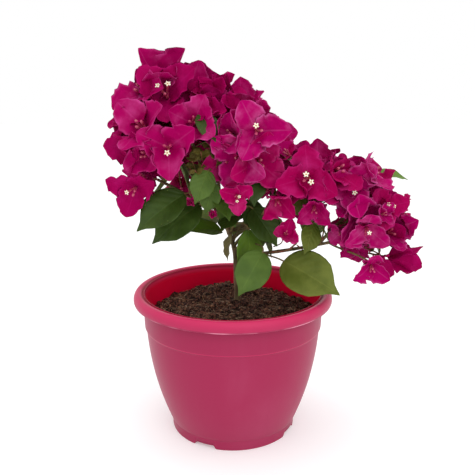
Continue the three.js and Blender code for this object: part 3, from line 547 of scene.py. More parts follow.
soil = Cluster()
reach = np.linspace(0.6, SOIL_REACH, SOIL_ROWS)[::-1, None]
around = full_turn(SOIL_COLUMNS)
x, y = reach * np.cos(around), reach * np.sin(around)
top = np.stack([x, y, soil_height(x, y)], -1)
skirt = top[:1] * [1, 1, 0] + UP * UNDER_SOIL_Z
soil.add(np.concatenate([skirt, top]), np.array([UP * UNDER_SOIL_Z, UP * soil_height(0.0, 0.0)]))
for middle in soil_spot(CRUMBS, rim=3):
    size = 0.5 + 2.3 * draw.random() ** 3
    soil.add(*crumb(middle + UP * 0.2 * size, size), finish=int(draw.random() < BARK_SHARE))
print(f"soil {top[..., 2].min():.0f} to {top[..., 2].max():.0f} mm high, {CRUMBS} crumbs")

# %% [markdown]
# ## Paths and round bars
# Everything woody is a round bar along a path. A path keeps many points and the length walked
# so far, so that a share of its length gives a point and a direction. A curve with a bevel
# would be round as well, but its radius can't change round the bar, as bark does.

# %% Curves
STRETCH_POINTS = 40


def unit(way):
    """The way as a vector of length 1."""
    way = np.asarray(way, float)
    return way / np.linalg.norm(way)


def bezier(corners, share):
    """De Casteljau's rule: corners are averaged in pairs until one point is left."""
    layer = [np.asarray(corner, float) for corner in corners]
    share = np.asarray(share)[:, None]
    while len(layer) > 1:
        layer = [a * (1 - share) + b * share for a, b in zip(layer, layer[1:])]
    return layer[0]


def passing(points):
    """A curve that passes through points: each stretch is a cubic whose slopes come from the
    neighbours, spaced by the square root of their distances, as centripetal splines are."""
    points = np.asarray(points, float)
    points = [2 * points[0] - points[1], *points, 2 * points[-1] - points[-2]]
    share = np.linspace(0, 1, STRETCH_POINTS)[:, None]
    stretches = []
    for a, b, c, d in zip(points, points[1:], points[2:], points[3:]):
        before, here, after = (np.linalg.norm(q - p) ** 0.5 for p, q in ((a, b), (b, c), (c, d)))
        out = ((b - a) / before - (c - a) / (before + here) + (c - b) / here) * here
        into = ((c - b) / here - (d - b) / (here + after) + (d - c) / after) * here
        stretches.append(b + out * share + (3 * (c - b) - 2 * out - into) * share ** 2
                         + (2 * (b - c) + out + into) * share ** 3)
    return np.concatenate(stretches)


# %% Paths
CURVE_POINTS = 80
NEAR = 0.002                    # the share of a path over which its direction is taken


class Path:
    """A curve in space, walked by the share of its length."""

    def __init__(self, points):
        steps = np.linalg.norm(np.diff(points, axis=0), axis=1)
        keep = np.concatenate([[True], steps > 1e-9])
        self.points = points[keep]
        self.walked = np.concatenate([[0], np.cumsum(steps[steps > 1e-9])])
        self.length = self.walked[-1]

    def at(self, share):
        """Points at shares of the length."""
        gone = np.asarray(share, float) * self.length
        return np.stack([np.interp(gone, self.walked, self.points[:, k]) for k in range(3)], -1)

    def way(self, share):
        """Directions at shares of the length, from the points just before and after."""
        share = np.asarray(share, float)
        step = self.at(np.minimum(1, share + NEAR)) - self.at(np.maximum(0, share - NEAR))
        return step / np.linalg.norm(step, axis=-1, keepdims=True)


def curved(*corners):
    """A path along the Bezier curve of its corners."""
    return Path(bezier(corners, np.linspace(0, 1, CURVE_POINTS)))


def aside(axis, turn):
    """A unit vector square to an axis, turned round it."""
    reference = UP if abs(axis[2]) < 0.9 else np.array([1.0, 0, 0])
    side = unit(np.cross(axis, reference))
    return side * math.cos(turn) + np.cross(side, axis) * math.sin(turn)


def squared(direction, axis):
    """The part of a direction that is square to an axis, as a unit vector."""
    return unit(direction - axis * np.dot(direction, axis))


# %% Round bars


def bar(path, radius, sides=6, rows=8):
    """Rings round a path. The frame is carried along without twist, and radius is a function of
    the share of the way and the angle round the bar. Returns rings and poles."""
    share = np.linspace(0, 1, rows)
    points, ways = path.at(share), path.way(share)
    normal = [aside(ways[0], 0.0)]
    for way in ways[1:]:
        normal.append(squared(normal[-1], way))
    normal = np.array(normal)[:, None]
    binormal = np.cross(ways, normal[:, 0])[:, None]
    angle = full_turn(sides)
    reach = np.broadcast_to(radius(share[:, None], angle[None]), (rows, sides))[..., None]
    round_it = normal * np.cos(angle)[None, :, None] + binormal * np.sin(angle)[None, :, None]
    rings = points[:, None] + round_it * reach
    tip = reach[-1].mean()
    poles = np.stack([points[0], points[-1] + ways[-1] * tip * 0.5])
    return rings, poles


def tapering(foot, end):
    """A radius that goes evenly from foot to end, the same all round."""
    return lambda share, angle: foot + (end - foot) * share


# %% [markdown]
# Fibres lie flat on the soil and bend a little. Hair strands would be lost in the exported
# model, so they are bars, so thin that three sides are enough. Peat, bits of bark and fibres
# differ in colour and a little in how damp they look.

# %% Fibres and soil mesh
FIBRES = 620


def earth(name, dark, pale, wet):
    """Matt crumbs from dark to pale, a little less matt where they are damp."""
    finish = Finish(name, Specular_IOR_Level=0.2)
    crumbs = finish.noise(420.0, 8.0)
    damp = finish.noise(22.0, 3.0).smooth(0.4, 0.7)
    return finish.surface(finish.mix(crumbs.smooth(0.4, 0.66), dark, pale), 0.95 - damp * wet,
                          crumbs, 0.9, 0.0012)


for middle in soil_spot(FIBRES, rim=8):
    heading = draw.random() * 2 * math.pi
    half = (2 + 5 * draw.random()) * np.array([math.cos(heading), math.sin(heading), 0])
    bow = np.array([-half[1], half[0], 0]) * draw.uniform(-0.6, 0.6)
    lift = UP * (0.6 + 0.7 * draw.random())
    strand = curved(middle - half + lift * 0.4, middle + bow + lift * 2, middle + half + lift * 0.3)
    soil.add(*bar(strand, tapering(0.22, 0.12), sides=3, rows=5), finish=2)
soil_finishes = [
    earth("peat", (32, 18, 14), (108, 70, 56), 0.1),
    earth("bark crumbs", (78, 50, 38), (150, 110, 84), 0.05),
    earth("fibres", (136, 108, 84), (198, 170, 142), 0.0),
]
soil.piece("soil_surface", soil_finishes, "soil", "soil")

# %% [markdown]
# ## Trunk and boughs
# The trunk leans back over the pot and then up to the left. It flares where it meets the soil.
# Boughs leave it, or one another, part-way along and arch to their tips. The same table and the
# same curves made the solids, so the fine limbs lie right on them. Bark is relief in the radius:
# long ridges that wander round the limb, and a swelling at each old leaf joint.

# %% Limb tables
# Steps from the trunk's foot
TRUNK_WAY = [(0, 0, -6), (-1.5, -2, 14), (-3.5, -7, 56), (-9, -11, 75), (-15, -13, 89), (-21, -15, 100)]
TRUNK_RADIUS, TRUNK_END_RADIUS = 2.7, 2.1
FLARE_RADIUS, FLARE_FADE = 3.2, 14
BOUGH_END_RADIUS = 1.4
BOUGH_ARCH_AT = 0.45            # how far along a bough it arches
STEM_ROOT = 0.6                 # how deep a limb starts in the end of its carrier
KNOT_SPACING = 17

# Name, carrier, share of the way along it, tip, arch and radius at the foot
BOUGHS = [
    ("bough_right_low", "trunk", 0.5, (104, -20, 200), -4, 2.0),
    ("bough_right_mid", "trunk", 0.68, (64, -10, 238), 6, 1.9),
    ("bough_back_right", "trunk", 0.75, (80, 18, 222), 8, 1.9),
    ("bough_low_centre", "trunk", 0.6, (26, -18, 222), 2, 1.7),
    ("bough_left", "trunk", 0.85, (-70, -24, 259), 6, 1.9),
    ("bough_right_up", "trunk", 0.8, (16, -8, 268), 4, 1.9),
    ("bough_back", "trunk", 0.88, (0, 28, 268), 6, 1.9),
    ("bough_back_left", "trunk", 0.93, (-50, 24, 266), 6, 1.9),
    ("bough_centre", "trunk", 0.91, (-16, -16, 288), 0, 1.9),
    ("bough_top", "trunk", 1, (-48, 2, 312), 6, 2.0),
    ("bough_left_up", "trunk", 0.97, (-66, -14, 296), 4, 1.9),
    ("bough_right_fork", "bough_right_low", 0.8, (114, -20, 228), 4, 1.6),
]


def bark_relief(foot, end, length, seed):
    """Radius with long ridges round the limb and a knot every couple of centimetres."""
    def radius(share, angle):
        along = share * length
        ridges = 0.5 * np.sin(5 * angle + seed + 0.05 * along)
        ridges = ridges + 0.3 * np.sin(9 * angle - 0.09 * along + 2 * seed)
        knots = np.maximum(0, np.cos(along / KNOT_SPACING * 2 * math.pi + seed)) ** 10
        grain = 0.35 * np.sin(along * 1.9 + 3 * np.sin(angle + seed))
        return (foot + (end - foot) * share) * (1 + 0.05 * ridges + 0.09 * knots + 0.025 * grain)
    return radius


# %% Trunk and boughs grow
trunk = Path(passing(TRUNK_FOOT + TRUNK_WAY))
limbs = {"trunk": trunk}
wood = Cluster()


def trunk_radius(share, angle):
    """Bark with the flare at the ground, which is lobed as a few roots spread under it."""
    bark = bark_relief(TRUNK_RADIUS, TRUNK_END_RADIUS, trunk.length, 1.0)(share, angle)
    flare = FLARE_RADIUS * np.maximum(0, 1 - share * trunk.length / FLARE_FADE) ** 2
    return bark + flare * (1 + 0.25 * np.cos(4 * angle + 0.6))


wood.add(*bar(trunk, trunk_radius, sides=28, rows=150))
for seed, (name, carrier, along, tip, arch, foot) in enumerate(BOUGHS, start=2):
    start, end = limbs[carrier].at(along), np.array(tip, float)
    middle = start + (end - start) * BOUGH_ARCH_AT + UP * arch
    if along == 1:
        start = start - limbs[carrier].way(1) * STEM_ROOT
    limbs[name] = curved(start, middle, end)
    relief = bark_relief(foot, BOUGH_END_RADIUS, limbs[name].length, seed)
    wood.add(*bar(limbs[name], relief, sides=16, rows=70), finish=1)
print(f"trunk {trunk.length:.0f} mm long, {len(BOUGHS)} boughs")

# %% [markdown]
# The bark is thin. Cork noise stretched along the trunk's height gives it cracks that run up
# it, and patches of another noise let the green skin through.

# %% Bark


def bark(name, dark, pale, green):
    """Thin bark: a green skin under grey-brown cork that splits lengthwise."""
    finish = Finish(name, Specular_IOR_Level=0.3)
    cork = finish.noise(160.0, 6.0, finish.stretched((1, 1, 0.25)))
    patches = finish.noise(45.0, 3.0).smooth(0.45, 0.65)
    skin = finish.mix(patches * 0.5, finish.mix(cork.smooth(0.35, 0.65), dark, pale), green)
    return finish.surface(skin, 0.85 - patches * 0.2, cork, 0.7, 0.0008)


wood_finishes = [
    bark("trunk bark", (84, 66, 48), (140, 118, 92), (96, 92, 56)),
    bark("bough bark", (86, 66, 48), (134, 114, 82), (86, 98, 48)),
]
wood.piece("trunk_and_boughs", wood_finishes, "bark", "trunk", *(row[0] for row in BOUGHS))

# %% [markdown]
# ## The rule of growth
# Flowers sit in sprays at the ends of stems. The rule is seeded: a number from a sine gives the
# same draw each time, so this script and the solids agree on where everything goes. A place
# that touched a neighbour was tried again further round in the solids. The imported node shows
# which try was taken: the one that lies on its surface.

# %% Seeded draws and packed surfaces
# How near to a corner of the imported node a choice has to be: a blade's tip, a head, and the tip
# of a leaf that has a place of its own
TIP_WITHIN, HEAD_WITHIN, PLACED_WITHIN = 1.6, 2.2, 1.2


def chance(seed, index):
    """A number from 0 to 1 that depends only on the seed and the index."""
    wave = math.sin(seed * 12.9898 + index * 78.233) * 43758.5453
    return wave - math.floor(wave)


def drawn(low, high, seed, index):
    """A seeded number from low to high."""
    return low + (high - low) * chance(seed, index)


def corners_of(node):
    """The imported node's corners, in millimetres."""
    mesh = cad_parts[node].data
    flat = np.empty(len(mesh.vertices) * 3, np.float32)
    mesh.vertices.foreach_get("co", flat)
    return flat.reshape(-1, 3) / MM


def taken(choices, corners, within):
    """Which of the choices lies nearest to a packed corner, if one lies within a distance."""
    gaps = [np.linalg.norm(corners - point, axis=1).min() for point in choices]
    best = int(np.argmin(gaps))
    return best if gaps[best] < within else None


# %% The crown's reach
# Its two lobes seen from the front, as middle, reach and slope
CROWN_LOBES = [((-38, 292), (86, 84), 0.0), ((110, 228), (74, 60), -0.35)]
CROWN_DEPTH = 90


def in_crown(point):
    """Whether a point lies in one of the lobes, which are sheared ellipses, and not too deep."""
    x, y, z = point
    inside = False
    for middle, reach, slope in CROWN_LOBES:
        right = x - middle[0]
        above = z - middle[1] - slope * right
        inside = inside or (right / reach[0]) ** 2 + (above / reach[1]) ** 2 < 1
    return abs(y) < CROWN_DEPTH and inside


# %% [markdown]
# ## Blades
# A leaf and a bract are both blades: a pointed egg-shaped outline, bent evenly along its
# length, folded along the midrib, and waved at its margins. One blade could be modelled and
# copied, but no two on a bush are alike, so a blade is a function of its length, bend, fold and
# waves. Two sheets a fraction of a millimetre apart, joined at the margin, make it a closed body
# that is opaque from both sides.

# %% Blades
# Where points lie across a blade, in halves of its width, and half of its thickness
ACROSS = np.array([-1, -0.93, -0.66, -0.36, -0.1, 0.1, 0.36, 0.66, 0.93, 1])
BLADE_MARGIN = 0.18


def blade(root, chord, facing, length, width, bend, outline, fold, wave, waves, phase, rows,
          cup=0.0, crinkle=0.0, jag=0.0):
    """Points along the blade by points across it, closer near both ends. Along it, an arc of
    the given bend. Across it, the outline's width, which the jag makes uneven by two sines. Off
    it, the fold, which lifts the margins in a V, the cup, which lifts them in a round, the wave,
    which grows towards the margin, and the crinkle, a product of sines along and across. Returns
    rings, poles and each point's place along and across."""
    square = squared(facing, chord)
    along = chord * math.cos(bend / 2) - square * math.sin(bend / 2)
    face = square * math.cos(bend / 2) + chord * math.sin(bend / 2)
    side = np.cross(along, face)
    part = (1 - np.cos(np.linspace(0.12, math.pi - 0.1, rows))) / 2
    over = np.concatenate([ACROSS, ACROSS[-2:0:-1]])[None]
    sheet = np.where(np.arange(over.size) < ACROSS.size, 1, -1)[None]
    t = part[:, None]
    edge = 1.7 * np.sign(over) + 6 * phase
    teeth = 0.5 * np.sin(17 * t + edge) + 0.6 * np.sin(37 * t - 2 * edge)
    half = outline(t) * width / 2 * (1 + jag * teeth * np.abs(over))
    ripple = np.sin(2 * math.pi * (waves * t + phase) + 0.9 * np.sign(over)) * np.abs(over) ** 2.2
    folds = np.sin(11 * t + 4 * over + 9 * phase) * np.sin(6 * over + 5 * t + 3 * phase)
    height = half * (fold * np.abs(over) + cup * over ** 2)
    height = height + (wave * ripple + crinkle * folds) * np.sqrt(half / (width / 2))
    height = height + sheet * BLADE_MARGIN * np.sqrt(1 - over ** 2)
    bent = bend * part
    spine = (along * (length * np.sin(bent) / bend)[:, None]
             + face * (length * (1 - np.cos(bent)) / bend)[:, None])
    normal = face * np.cos(bent)[:, None] - along * np.sin(bent)[:, None]
    rings = (root + spine[:, None] + side * (half * over)[..., None]
             + normal[:, None] * height[..., None])
    tip = root + along * length * math.sin(bend) / bend + face * length * (1 - math.cos(bend)) / bend
    places = np.stack(np.broadcast_arrays(t, over), -1)
    return rings, np.stack([root, tip]), places


# %% Outlines of blades


def chord_length(length, bend):
    """How far a bent blade's tip is from its root, as the chord of an arc."""
    return length * math.sin(bend / 2) / (bend / 2)


def bract_outline(part):
    """Broad and round at the base and blunt, with a short point: a product of two powers, over
    its greatest value."""
    return part ** 0.5 * (1 - part) ** 0.72 / 0.4351


def leaf_outline(part):
    """Round at the base and widest before the middle, as a product of two powers. An eased step
    takes away over half of the width near the end, which leaves a thin drip tip."""
    late = np.clip((part - 0.68) / 0.24, 0, 1)
    return part ** 0.6 * (1 - part) ** 0.8 / 0.3844 * (1 - 0.58 * eased(late))


# %% [markdown]
# ## Flower heads
# What looks like a petal is a bract, a coloured leaf. Three of them stand round three slim tube
# flowers, each on the midrib of its bract. A tube opens into a small cream star with five
# frilled lobes. In younger heads the tubes are still closed.

# %% Bracts
BRACT_LENGTH, BRACT_WIDTH, BRACT_ROWS = 34, 29, 16
BRACT_ROOT, BRACT_OFFSET = 1.2, 0.25
BRACT_TONES = 5
WIDE_OPEN = 0.8                 # bracts that open further than this bend back, not inwards
# What a bract tries: how far it turns on, and how much of its opening is left
BRACT_TRIES = [(0, 1), (0.35, 0.9), (-0.35, 0.9), (0, 0.7), (0.6, 0.8), (-0.6, 0.8), (0, 0.45)]
leaves, flowers, twigs = Cluster(), Cluster(), Cluster()
bracts = {False: Cluster(), True: Cluster()}        # the crown's, and the longer bough's


def bract_frame(root, axis, turn, opening):
    """Where a bract starts, the way it runs and the way it faces."""
    out = aside(axis, turn)
    chord = axis * math.cos(opening) + out * math.sin(opening)
    facing = axis * math.sin(opening) - out * math.cos(opening)
    return root - axis * BRACT_ROOT + out * BRACT_OFFSET, chord, facing


def add_bract(cluster, seed, base, chord, facing, bend, size, tone):
    """One bract. Its folds, waves, crinkles and torn margin are drawn by chance."""
    rings, poles, places = blade(
        base, chord, facing, BRACT_LENGTH * size, BRACT_WIDTH * size, bend, bract_outline,
        fold=drawn(0, 0.35, seed, 21), cup=drawn(-0.15, 0.5, seed, 22),
        wave=drawn(0.9, 2.8, seed, 23), waves=drawn(1.4, 3.6, seed, 24),
        phase=chance(seed, 25), rows=BRACT_ROWS,
        crinkle=drawn(0.5, 1.5, seed, 26), jag=drawn(0.08, 0.2, seed, 27))
    cluster.add(rings, poles, finish=tone, places=places)


def grow_bract(spray, seed, root, axis, turn, opening, size, is_lead):
    """One bract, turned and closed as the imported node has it. One that the node doesn't have
    is left off outside the crown."""
    options, tips = [], []
    for turned, closed in BRACT_TRIES:
        base, chord, facing = bract_frame(root, axis, turn + turned, opening * closed)
        bend = -0.3 if opening * closed > WIDE_OPEN else 0.35
        options.append((base, chord, facing, bend))
        tips.append(base + chord * chord_length(BRACT_LENGTH * size, bend))
    best = taken(tips, spray.corners, TIP_WITHIN)
    if best is not None or is_lead or in_crown(tips[0]):
        add_bract(spray.cluster, seed, *options[best or 0], size, spray.tone)


# %% Tube flowers
FLOWER_LENGTH, STAR_RADIUS = 17, 3.0
FLOWER_LEAN, CLOSED_SHARE = 0.28, 0.78      # how a tube leans out, and how long a closed one is
# A star's rings from the back of its rim to its throat: their reach and their height
STAR_RINGS = np.array([(0.25, -0.9), (0.95, 0.25), (1.0, 0.45), (0.62, 0.55), (0.2, 0.2)])
STAR_COLUMNS = 30


def tube_flower(root, axis, turn, size, is_open):
    """A slim tube, swollen at its foot by a bell curve. An open one ends in a star, a closed one
    in a bud."""
    way = unit(axis + aside(axis, turn) * FLOWER_LEAN)
    length = FLOWER_LENGTH * size * (1 if is_open else CLOSED_SHARE)
    start, end = root - axis * BRACT_ROOT, root + way * length
    path = curved(start, (start + end) / 2 + axis * 0.8, end)

    def radius(share, angle):
        swelling = 0.35 * np.exp(-((share - 0.25) / 0.15) ** 2)
        mouth = 0.35 * share ** 4 if is_open else 0.55 * np.exp(-((share - 0.86) / 0.1) ** 2)
        return size * (0.85 + swelling + mouth) * (1 + 0.08 * np.cos(5 * angle))

    flowers.add(*bar(path, radius, sides=10, rows=9), finish=0 if is_open else 1)
    if is_open:
        small_star(end, way, STAR_RADIUS * size, turn)


def small_star(middle, way, reach, turn):
    """Five lobes, a cosine round the star, frilled by a finer one, round a sunken throat."""
    angle = full_turn(STAR_COLUMNS)
    lobes = 0.74 + 0.26 * np.cos(5 * (angle + turn)) - 0.06 * np.cos(10 * (angle + turn))
    out, lift = STAR_RINGS[:, :1], STAR_RINGS[:, 1:]
    spread = reach * out * np.where(out > 0.5, lobes, 1.0)
    height = lift + 0.22 * np.cos(15 * angle) * (out > 0.9)
    side, over = aside(way, 0.0), aside(way, math.pi / 2)
    round_it = side * np.cos(angle)[:, None] + over * -np.sin(angle)[:, None]
    rings = middle + spread[..., None] * round_it + height[..., None] * way
    flowers.add(rings, np.stack([middle - way * 0.9, middle - way * 0.2]), finish=2)
    throat = curved(middle - way * 0.6, middle, middle + way * 0.75)
    flowers.add(*bar(throat, tapering(0.7, 0.5), sides=6, rows=4), finish=3)


# %% A whole head
GOLDEN_TURN = 2.39996           # the golden angle, in radians
THIRD = 2 * math.pi / 3         # of a turn
STAR_OPENING, YOUNG_OPENING = (1.0, 1.25), (0.65, 1.1)
TWO_STARS = 0.5                 # share of the star heads that have two stars
head_roots = []


class Spray:
    """What a spray's heads share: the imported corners, the mesh that its bracts join and their
    tone, and for the heads round the lead one its stem, its place, its aim and its size."""

    def __init__(self, name, seed, cluster, lead=None, aim=None, size=1):
        self.corners = corners_of(name)
        self.stem = limbs[name]
        self.seed, self.cluster = seed, cluster
        self.lead, self.aim, self.size = lead, aim, size
        self.tone = int(chance(seed, 9) * BRACT_TONES)


def turn_or_chance(degrees, seed, index):
    """A turn given in degrees, or a chance one if none is given."""
    return chance(seed, index) * 2 * math.pi if degrees is None else math.radians(degrees)


def flower_head(spray, seed, root, axis, size=1, star=False, roll=None, lean=None, is_lead=False):
    """Three bracts at thirds of a turn round three tube flowers. In a star head one or two of
    the tubes are open."""
    start = turn_or_chance(roll, seed, 1)
    bounds = STAR_OPENING if star else YOUNG_OPENING
    opening = drawn(*bounds, seed, 2) if lean is None else lean
    grown = size * drawn(0.9, 1.1, seed, 3)
    open_flowers = (1 + (chance(seed, 4) < TWO_STARS)) * star
    for k in range(3):
        tube_flower(root, axis, start + k * THIRD, grown, k < open_flowers)
    for k in range(3):
        grow_bract(spray, seed + 0.013 * k, root, axis, start + k * THIRD, opening, grown, is_lead)
    head_roots.append(root)


# %% [markdown]
# ## Leaves
# Bougainvillea leaves are egg-shaped and run out in a thin drip tip. They are dark and a little
# shiny above, and paler and dull beneath. Each stands on a short stalk.

# %% Leaves
LEAF_LENGTH, LEAF_WIDTH_SHARE, PETIOLE_LENGTH = 42, 0.66, 9
LEAF_BEND, LEAF_ROWS, LEAF_TRIES = -0.35, 14, 8
LEAF_TONES = 4                  # then come the young leaves' tone and the underside's
YOUNG, UNDERSIDE = LEAF_TONES, LEAF_TONES + 1


def stalk(foot, bow, end, foot_radius=0.9, end_radius=0.7):
    """A thin bar from its foot to its end, drawn towards a point between them."""
    twigs.add(*bar(curved(foot, bow, end), tapering(foot_radius, end_radius)), finish=1)


def leaf_blade(seed, root, chord, facing, length, tone):
    """One leaf. Its fold and its waves are drawn by chance."""
    rings, poles, places = blade(
        root, chord, facing, length, length * LEAF_WIDTH_SHARE, LEAF_BEND, leaf_outline,
        fold=drawn(0.08, 0.3, seed, 11), wave=drawn(0.3, 1.1, seed, 12),
        waves=drawn(1.5, 2.6, seed, 13), phase=chance(seed, 14), rows=LEAF_ROWS)
    leaves.add(rings, poles, finish=tone, places=places, back=UNDERSIDE)


def leaf_on_stem(corners, seed, stem):
    """A leaf on its stalk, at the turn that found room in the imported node."""
    part = drawn(0.35, 0.8, seed, 1)
    foot, way = stem.at(part), stem.way(part)
    length = LEAF_LENGTH * drawn(0.75, 1.1, seed, 2)
    options, tips = [], []
    for tries in range(LEAF_TRIES):
        out = aside(way, chance(seed, 3) * 2 * math.pi + tries * GOLDEN_TURN)
        out = unit(out + way * 0.4 - UP * 0.2)
        end, chord = foot + out * PETIOLE_LENGTH, unit(out - UP * 0.35)
        options.append((out, end, chord))
        tips.append(end - out + chord * chord_length(length, LEAF_BEND))
    best = taken(tips, corners, TIP_WITHIN)
    if best is None:
        return
    out, end, chord = options[best]
    stalk(foot, (foot + end) / 2 + UP * 0.8, end, 0.8, 0.6)
    leaf_blade(seed, end - out, chord, UP + out * 0.3, length, int(chance(seed, 15) * LEAF_TONES))


# %% [markdown]
# ## Sprays
# A spray is a stem that ends in a few flower heads. Strewing heads over the crown by chance
# would fill it too, but the nearest sprays show one by one in the photo. So the table names each
# spray's carrier, the middle of its lead head and the way that head faces. The other heads stand
# round the lead one on stalks of their own.

# %% Spray table
# Name, carrier, place, aim, heads, leaves, and what differs from a plain full-size spray: an
# open star, the turn of the lead head's bracts in degrees, how far they lean out in radians and
# the turn to where the next head stands
SPRAYS = [
    ("spray_heart", "bough_left_up", (-55, -60, 292), (0, -1, 0.1), 2, 1, dict(star=True, beside=37)),
    ("spray_left_low", "bough_left", (-87, -45, 255), (-0.2, -0.9, -0.3), 1, 0,
     dict(star=True, roll=30, size=0.9)),
    ("spray_left_tip", "bough_left", (-82, -35, 291), (-0.7, -0.7, 0), 3, 1, dict(roll=0)),
    ("spray_left_upper", "bough_left_up", (-90, -22, 315), (-0.4, -0.8, 0.4), 3, 0,
     dict(size=0.75, roll=45)),
    ("spray_top_front", "bough_left_up", (-58, -35, 334), (-0.1, -0.8, 0.5), 1, 0,
     dict(star=True, roll=20)),
    ("spray_top", "bough_top", (-63, -16, 343), (0, -0.6, 0.8), 4, 1,
     dict(roll=30, lean=0.6, size=1.2)),
    ("spray_centre_top", "bough_top", (-20, -22, 325), (0, -0.4, 0.9), 3, 1, dict(lean=0.4)),
    ("spray_centre_front", "bough_centre", (-34, -50, 312), (0, -0.9, 0.3), 2, 0,
     dict(roll=100, size=0.85)),
    ("spray_right_top", "bough_centre", (9, -18, 323), (0.1, -0.5, 0.8), 3, 1,
     dict(lean=0.6, roll=85, beside=10)),
    ("spray_right_star", "bough_right_up", (21, -55, 306), (0.1, -1, 0.1), 2, 1,
     dict(star=True, roll=60, beside=300)),
    ("spray_right_end", "bough_right_up", (33, -20, 300), (0.3, -0.9, 0.2), 2, 1,
     dict(roll=60, lean=1, size=0.8)),
    ("spray_right_low", "bough_right_up", (22, -45, 279), (0.2, -0.9, -0.1), 2, 1, {}),
    ("spray_small_star", "trunk", (4, -60, 250), (0, -0.9, -0.1), 1, 0, dict(size=0.6, star=True)),
    ("spray_low_centre", "bough_low_centre", (40, -45, 246), (0.1, -0.7, -0.5), 1, 1,
     dict(size=0.85, roll=90, lean=0.7)),
    ("spray_middle", "bough_right_mid", (53, -30, 264), (-0.1, -0.8, 0.3), 2, 1,
     dict(size=0.7, roll=30)),
    ("spray_far_top", "bough_right_mid", (80, -15, 264), (0, -0.4, 0.9), 3, 1, dict(lean=0.5, roll=0)),
    ("spray_far_left_star", "bough_right_mid", (68, -50, 265), (-0.2, -0.9, 0), 2, 0, dict(star=True)),
    ("spray_far_left_low", "bough_right_mid", (75, -42, 237), (-0.1, -0.8, -0.4), 1, 1,
     dict(size=0.75, roll=90, lean=0.8)),
    ("spray_far_star", "bough_right_fork", (106, -50, 256), (0, -1, 0.1), 3, 1,
     dict(star=True, beside=250)),
    ("spray_far_upper", "bough_right_fork", (132, -14, 248), (0.2, -0.4, 0.9), 2, 1,
     dict(lean=0.5, roll=90)),
    ("spray_far_right_star", "bough_right_fork", (139, -42, 236), (0.3, -0.9, 0.2), 2, 0,
     dict(star=True, size=0.7, roll=50)),
    ("spray_far_low_star", "bough_right_low", (122, -50, 219), (0, -0.9, -0.4), 2, 0,
     dict(star=True, size=0.75, roll=90, beside=285)),
    ("spray_far_right", "bough_right_fork", (148, -26, 209), (0.3, -0.8, 0.3), 1, 0, dict(roll=40)),
    ("spray_far_tip", "bough_right_low", (151, -22, 184), (1, -0.3, 0), 2, 0,
     dict(lean=0.35, size=1.1)),
    ("spray_hanging", "bough_right_low", (128, -50, 183), (0, -0.9, -0.4), 1, 0,
     dict(size=0.72, roll=90)),
    ("spray_back_top", "bough_top", (-42, 34, 330), (-0.1, 0.7, 0.7), 4, 1, {}),
    ("spray_back_left", "bough_back_left", (-86, 26, 296), (-0.8, 0.5, 0.2), 3, 2, {}),
    ("spray_back_low", "bough_back_left", (-58, 52, 266), (-0.2, 0.9, 0), 3, 2, {}),
    ("spray_back_centre", "bough_back", (-8, 54, 302), (-0.1, 0.9, 0.3), 4, 2, {}),
    ("spray_back_right", "bough_back", (32, 38, 276), (0.6, 0.7, 0.1), 3, 2, {}),
    ("spray_far_back_left", "bough_back_right", (72, 34, 256), (-0.1, 0.8, 0.4), 3, 1, {}),
    ("spray_far_back", "bough_back_right", (108, 36, 236), (0.2, 0.9, 0.1), 2, 1, dict(beside=90)),
    ("spray_far_back_right", "bough_right_fork", (142, 14, 214), (0.7, 0.6, -0.1), 3, 1, {}),
]
print(f"{len(SPRAYS)} sprays")

# %% Stems
STEM_RADIUS, STEM_END_RADIUS = 1.1, 0.8
STEM_STEP = 6                   # from where one stem leaves its bough back to where the next does
STEM_ALONG = {"spray_small_star": 0.99}    # for a stem that doesn't start near its bough's tip
stem_counts = {}


def stem_path(carrier, along, end, arrival):
    """A stem goes on from its bough's tip or leaves just behind it, and ends along arrival."""
    curve = limbs[carrier]
    if along is None:
        along = 1 - stem_counts.get(carrier, 0) * STEM_STEP / curve.length
        stem_counts[carrier] = stem_counts.get(carrier, 0) + 1
    start, way = curve.at(along), curve.way(along)
    span = np.linalg.norm(end - start)
    departure = way if along == 1 else unit(way + squared(end - start, way))
    if along == 1:
        start = start - way * STEM_ROOT
    return curved(start, start + departure * span * 0.35, end - arrival * min(14, span * 0.35), end)


def grow_stem(name, carrier, along, end, arrival):
    """A stem of bark, kept under its name for what grows on it."""
    limbs[name] = stem_path(carrier, along, end, arrival)
    relief = bark_relief(STEM_RADIUS, STEM_END_RADIUS, limbs[name].length, 3.0)
    twigs.add(*bar(limbs[name], relief, sides=8, rows=20))


# %% Heads round the lead one
# How far heads stand beside the lead one and behind it, their tries and the room they need
HEAD_SPREAD, HEAD_BACK, HEAD_TRIES, HEAD_ROOM = 24, (4, 14), 6, 4
# The share of the stem where the first stalk leaves it, and from there back to the next
STALKS_FROM, STALKS_STEP = 0.76, 0.13


def room_at(root):
    """How far the nearest head is."""
    return np.linalg.norm(np.array(head_roots) - root, axis=1).min()


def on_stalk(stem, share, root):
    """A stalk that leaves a stem part-way along it and ends at a head's root."""
    foot, way = stem.at(share), stem.way(share)
    stalk(foot, foot + way * np.linalg.norm(root - foot) * 0.45, root)


def more_heads(spray, heads, beside):
    """The heads round the lead one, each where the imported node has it."""
    for k in range(1, heads):
        seed, options = spray.seed + 0.1 * k, []
        turn = turn_or_chance(beside, seed, 4) + (k - 1) * GOLDEN_TURN
        for tries in range(HEAD_TRIES):
            out = aside(spray.aim, turn + tries / HEAD_TRIES * 2 * math.pi)
            root = spray.lead + out * HEAD_SPREAD * drawn(0.85, 1.15, seed, 5)
            options.append((root - spray.aim * drawn(*HEAD_BACK, seed, 6), out))
        best = taken([root for root, _ in options], spray.corners, HEAD_WITHIN)
        if best is not None and room_at(options[best][0]) > HEAD_ROOM:
            root, out = options[best]
            on_stalk(spray.stem, STALKS_FROM - STALKS_STEP * (k - 1), root)
            flower_head(spray, seed, root, unit(spray.aim + out * 0.7 + UP * 0.15), spray.size)


